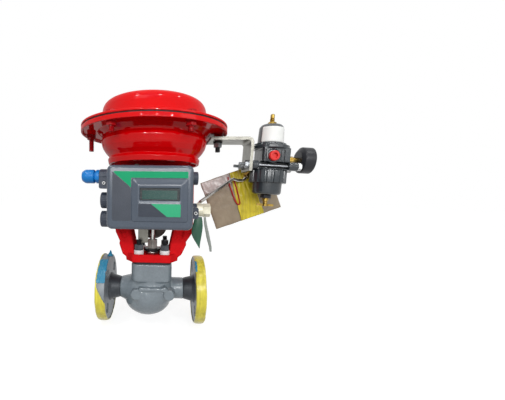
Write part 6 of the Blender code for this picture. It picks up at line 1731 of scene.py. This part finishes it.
@dataclass
class LoosePieces:
    """Document bag with its tape and tie, and the two tags that hang at the supply fitting."""

    bag_at: tuple[float, float, float] = (0.180, 0.0488, 0.183)
    bag_l: float = 0.142
    bag_h: float = 0.104
    bag_t: float = 0.006
    tilt: float = math.radians(20.5)
    film_t: float = 0.0003
    tie_d: float = 0.0028
    tag_t: float = 0.0005
    least_sheet: float = 0.01

    def bag_frame(self) -> Matrix:
        """Return the matrix of the bag's own plane: X along it, Z up it, -Y its front."""
        return Matrix.Translation(self.bag_at) @ Matrix.Rotation(-self.tilt, 4, "Y")

    def bag_rise(self, u: float, v: float) -> float:
        """Return half the bag's thickness at a place on it.

        Args:
            u: Place along the bag, from -1 to 1.
            v: Place up the bag, from -1 to 1.

        Returns:
            The distance from its middle plane in metres.
        """
        full = max((1 - abs(u) ** 5) * (1 - abs(v) ** 5), 0)
        wrinkle = waver(0.00045, 4 * u, 5 * v, 2.0) + waver(0.0003, 11 * u, 3 * v, 8.0)
        return 0.0006 + (self.bag_t / 2 - 0.0009) * full ** 0.4 + wrinkle * full

    def on_bag(self, x: float, z: float, lift: float) -> Vector:
        """Return the point in the row frame at a height over a place on the bag's front."""
        u, v = max(-1, min(1, 2 * x / self.bag_l)), max(-1, min(1, 2 * z / self.bag_h))
        return self.bag_frame() @ Vector((x, -self.bag_rise(u, v) - lift, z))

    def build_bag(self) -> None:
        """Build the bag as a thin pillow with a wavy outline."""
        def point(side: int, v: float, u: float) -> Vector:
            """Place a point of the sheet.

            Args:
                side: -1 for the front, 1 for the back.
                v: Share of the height.
                u: Share of the length.

            Returns:
                The point.
            """
            u, v = 2 * u - 1, 2 * v - 1
            x = u * self.bag_l / 2 * (1 - (0.012 + waver(0.012, 2.0, 3 * v, 1.0)) * (abs(u) > 0.9))
            z = v * self.bag_h / 2 * (1 - (0.014 + waver(0.014, 3 * u, 7.0, 1.0)) * (abs(v) > 0.9))
            seam = max(abs(u), abs(v)) == 1
            return self.bag_frame() @ Vector((x, 0 if seam else side * self.bag_rise(u, v), z))

        front, back = (grid(54, 72, lambda v, u, n=side: point(n, v, u)) for side in (-1, 1))
        bag = Shell().sheet(front).sheet([row[::-1] for row in back])
        pouch = piece("document_pouch", bag, KRAFT, "document_bag", sharp=70)

    def patch(self, name: str, corners: list[tuple[float, float]], finish: Finish, lift: float, crease: float,
              seed: float) -> None:
        """Lay a creased film on the bag's front.

        Args:
            name: Name of the piece.
            corners: Its corners on the bag: lower left, lower right, upper right, upper left.
            finish: Its finish.
            lift: Height over the bag in metres.
            crease: Depth of its creases in metres.
            seed: Offset of its pattern.
        """
        a, b, c, d = (Vector(p) for p in corners)

        def point(t: float, s: float) -> Vector:
            """Place a point of the sheet.

            Args:
                t: Share of the height.
                s: Share of the width.

            Returns:
                The point.
            """
            p = a.lerp(b, s).lerp(d.lerp(c, s), t)
            tear = waver(0.0014, 6 * t, seed, 0.0 if s < 0.5 else 9.0) * abs(2 * s - 1) ** 6
            fold = 2 * abs(waver(crease, 5.5 * s + 0.8 * t, 1.4 * t, seed))
            return self.on_bag(p.x + tear, p.y, lift + fold)

        film_piece(name, grid(48, 32, point), finish, self.film_t, 0.0, sharp=50)

    def build_films(self) -> None:
        """Build the yellow tape across the bag, and the clear fold at its upper left."""
        half = self.bag_h / 2
        tape = [(-0.0165, -half + 0.001), (0.0320, -half + 0.001), (0.0315, half - 0.001), (-0.0065, half - 0.001)]
        self.patch("bag_tape_band", tape, BAG_TAPE, 0.0006, 0.0017, 3.0)
        fold = [(-0.0700, 0.0250), (-0.0100, 0.0290), (-0.0080, 0.0500), (-0.0690, 0.0500)]
        self.patch("bag_clear_fold", fold, CLEAR_FOLD, 0.0005, 0.0011, 12.0)

    def build_tie(self) -> None:
        """Lay the red tie down the bag's front and back up under the tape."""
        route = [(-0.0130, 0.0440), (-0.0150, 0.0370), (-0.0156, 0.0270), (-0.0158, 0.0160), (-0.0157, 0.0050),
                 (-0.0152, -0.0060), (-0.0138, -0.0135), (-0.0108, -0.0168), (-0.0080, -0.0150), (-0.0068, -0.0080),
                 (-0.0056, 0.0020), (-0.0048, 0.0110), (-0.0042, 0.0190), (-0.0040, 0.0270), (-0.0042, 0.0340)]
        points = smoothed([self.on_bag(x, z, self.tie_d / 2 + 0.0014) for x, z in route], 6)
        curve = bpy.data.curves.new("red_tie", "CURVE")
        curve.dimensions = "3D"
        curve.bevel_depth = self.tie_d / 2
        curve.bevel_resolution = 4
        curve.use_fill_caps = True
        spline = curve.splines.new("POLY")
        spline.points.add(len(points) - 1)
        for target, point in zip(spline.points, points):
            target.co = (*point, 1)
        curve.materials.append(TIE_PLASTIC.material())
        obj = loose("red_tie", curve)
        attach(obj, Body.VALVE.value)
        length = sum((b - a).length for a, b in zip(points, points[1:]))
        tuple(points[0])
        LOG.info("red_tie: %.0f mm long", 1000 * length)

    def build_tag(self, node: str, name: str, widths: list[tuple[float, float]], finish: Finish, body: Body,
                  curl: float) -> None:
        """Build a hanging tag as a thin curled sheet over its CAD solid.

        Args:
            node: CAD node of the tag.
            name: Name of the piece.
            widths: Left and right edge in shares of the node's width, from its top to its foot.
            finish: Its finish.
            body: Body that it rides on.
            curl: How far its middle stands forward in metres.
        """
        low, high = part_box(node)
        depth = (low.y + high.y) / 2

        def point(t: float, s: float) -> Vector:
            """Place a point of the sheet.

            Args:
                t: Share of the height, from the top.
                s: Share of the width.

            Returns:
                The point.
            """
            left, right = (np.interp(t * (len(widths) - 1), range(len(widths)), edge) for edge in zip(*widths))
            x = low.x + (high.x - low.x) * (left + (right - left) * s)
            y = depth - curl * math.sin(math.pi * s) * math.sin(math.pi * min(1, 1.2 * t)) + 0.4 * curl * t
            return Vector((x, y, high.z - (high.z - low.z) * t))

        rows = grid(35, 8, point)
        tag = film_piece(name, rows, finish, self.tag_t, 0.0, stands_for=node, body=body)
        length = sum((b[4] - a[4]).length for a, b in zip(rows, rows[1:]))

    def build(self) -> None:
        """Build the bag with its films and tie, and the two tags."""
        self.build_bag()
        self.build_films()
        self.build_tie()
        self.build_tag("green_tag", "green_tag_sheet", [(0.28, 0.90), (0.20, 0.97), (0.10, 1.0), (0.02, 0.97),
                                                        (0.05, 0.92), (0.25, 0.86), (0.50, 0.80), (0.74, 0.78)],
                       GREEN_FILM, Body.GREEN_TAG, 0.0022)
        self.build_tag("white_strap", "white_strap_tail", [(0.02, 0.26), (0.05, 0.34), (0.14, 0.46), (0.26, 0.60),
                                                           (0.36, 0.73), (0.50, 0.86), (0.66, 0.97), (0.76, 1.0)],
                       WHITE_STRAP_IN_PAINTED_SHADE, Body.STRAP, 0.0012)


@dataclass
class Studio:
    """Pale floor, soft lamps, white surround and the camera at the photograph's viewpoint."""

    camera_at: tuple[float, float, float] = (0.0237, -0.507, 0.181)
    yaw: float = 2.68
    pitch: float = -2.87
    roll: float = -0.802
    focal_px: float = 262.0
    centre_px: tuple[float, float] = (153.0, 208.0)
    image_px: tuple[int, int] = (505, 400)
    floor_z: float = -0.0640
    floor_half: float = 6.0
    ambient: float = 0.34
    floor_seen: float = 0.82
    aim: tuple[float, float, float] = (0.05, 0, 0.17)

    def build_camera(self) -> None:
        """Place the camera; its shift puts the object left of the middle as in the photograph."""
        wide, tall = self.image_px
        data = bpy.data.cameras.new("camera")
        data.sensor_width = 36.0
        data.sensor_fit = "HORIZONTAL"
        data.lens = self.focal_px / wide * data.sensor_width
        data.shift_x = (wide / 2 - self.centre_px[0]) / wide
        data.shift_y = (self.centre_px[1] - tall / 2) / wide
        data.clip_start = 0.01
        camera = loose("camera", data)
        turn = Matrix.Identity(4)
        for degrees, axis in ((self.yaw, "Z"), (self.pitch, "X"), (self.roll, "Y")):
            turn = turn @ Matrix.Rotation(math.radians(degrees), 4, axis)
        camera.matrix_world = Matrix.Translation(self.camera_at) @ turn @ Matrix.Rotation(math.pi / 2, 4, "X")
        bpy.context.scene.camera = camera

    def build_lamps(self) -> None:
        """Hang the soft boxes, and the small lamps whose glints show in the enamel."""
        lamps = {"key": ((-0.45, -0.9, 1.05), (0.5, 0.35), 1.0), "fill": ((0.95, -0.8, 0.55), (0.5, 0.5), 1.5),
                 "front_strip": ((0.02, -1.3, 0.42), (0.9, 0.12), 4.4), "top": ((0.0, 0.15, 1.2), (0.7, 0.5), 0.4)}
        near = ((-0.5, -0.62, 1.15), (0.22, -0.72, 1.25), (0.75, -0.35, 1.2))
        far = ((-0.45, -1.8, 0.75), (0.2, -1.9, 0.8), (0.75, -1.5, 0.7))
        for index, at in enumerate(near + far):
            lamps[f"glint_{index}"] = (at, (0.05, 0.07), 1.7 if at in near else 4.0)
        for name, (at, size, watts) in lamps.items():
            data = bpy.data.lights.new(name, "AREA")
            data.shape = "RECTANGLE"
            data.size, data.size_y = size
            data.energy = watts
            loose(name, data).matrix_world = axis_frame(at, Vector(at) - Vector(self.aim))

    @staticmethod
    def white_for_camera(tree: NodeTree, strength: float, seen: float = 1.0) -> NodeSocket:
        """Return a strength that differs between what lights the object and what is seen.

        Args:
            tree: Node tree of the material or the surround.
            strength: Strength for the rays that light the object.
            seen: Strength for rays seen straight, in gloss and through glass.

        Returns:
            The strength for each ray.
        """
        ray = add_node(tree, "ShaderNodeLightPath", out="Is Camera Ray")
        for kind in ("Is Glossy Ray", "Is Transmission Ray"):
            other = tree.nodes["Light Path"].outputs[kind]
            ray = add_node(tree, "ShaderNodeMath", {0: ray, 1: other}, operation="MAXIMUM")
        return add_node(tree, RANGE, {"Value": ray, "To Min": strength, "To Max": seen})

    def build_surround(self) -> None:
        """Fill the surround with a plain soft white, and lay a wide pale floor that keeps the object's shadow."""
        world = bpy.data.worlds.new("white_surround")
        world.use_nodes = True
        tree = world.node_tree
        connect(tree, tree.nodes["Background"], {"Color": (1, 1, 1, 1),
                                                 "Strength": self.white_for_camera(tree, self.ambient)})
        bpy.context.scene.world = world
        centre = Vector((0.05, 0.4, self.floor_z))
        corners = [centre + self.floor_half * Vector((sx, sy, 0)) for sx, sy in ((-1, -1), (1, -1), (1, 1), (-1, 1))]
        floor = loose("floor", Shell(corners, [(0, 1, 2, 3)]).mesh("floor"))
        material = bpy.data.materials.new("pale_floor")
        material.use_nodes = True
        tree = material.node_tree
        set_shader(tree, {
            "Base Color": linear("9A9A9A"), "Roughness": 0.9, "Emission Color": (1, 1, 1, 1),
            "Emission Strength": self.white_for_camera(tree, 0.0, self.floor_seen)})
        floor.data.materials.append(material)

    def build(self) -> None:
        """Build the camera, the lamps, the surround and the floor."""
        bpy.context.scene.view_settings.view_transform = "Standard"
        self.build_camera()
        self.build_lamps()
        self.build_surround()


def main() -> None:
    """Build the studio and each sub-assembly in order."""
    logging.basicConfig(level=logging.INFO, format="%(message)s")
    Studio().build()
    for part in (LoosePieces(), PipeLine(), Bonnet(), Actuator(), Positioner(), AirSet()):
        LOG.info("building %s", type(part).__name__)
        part.build()


if __name__ == "__main__":
    main()
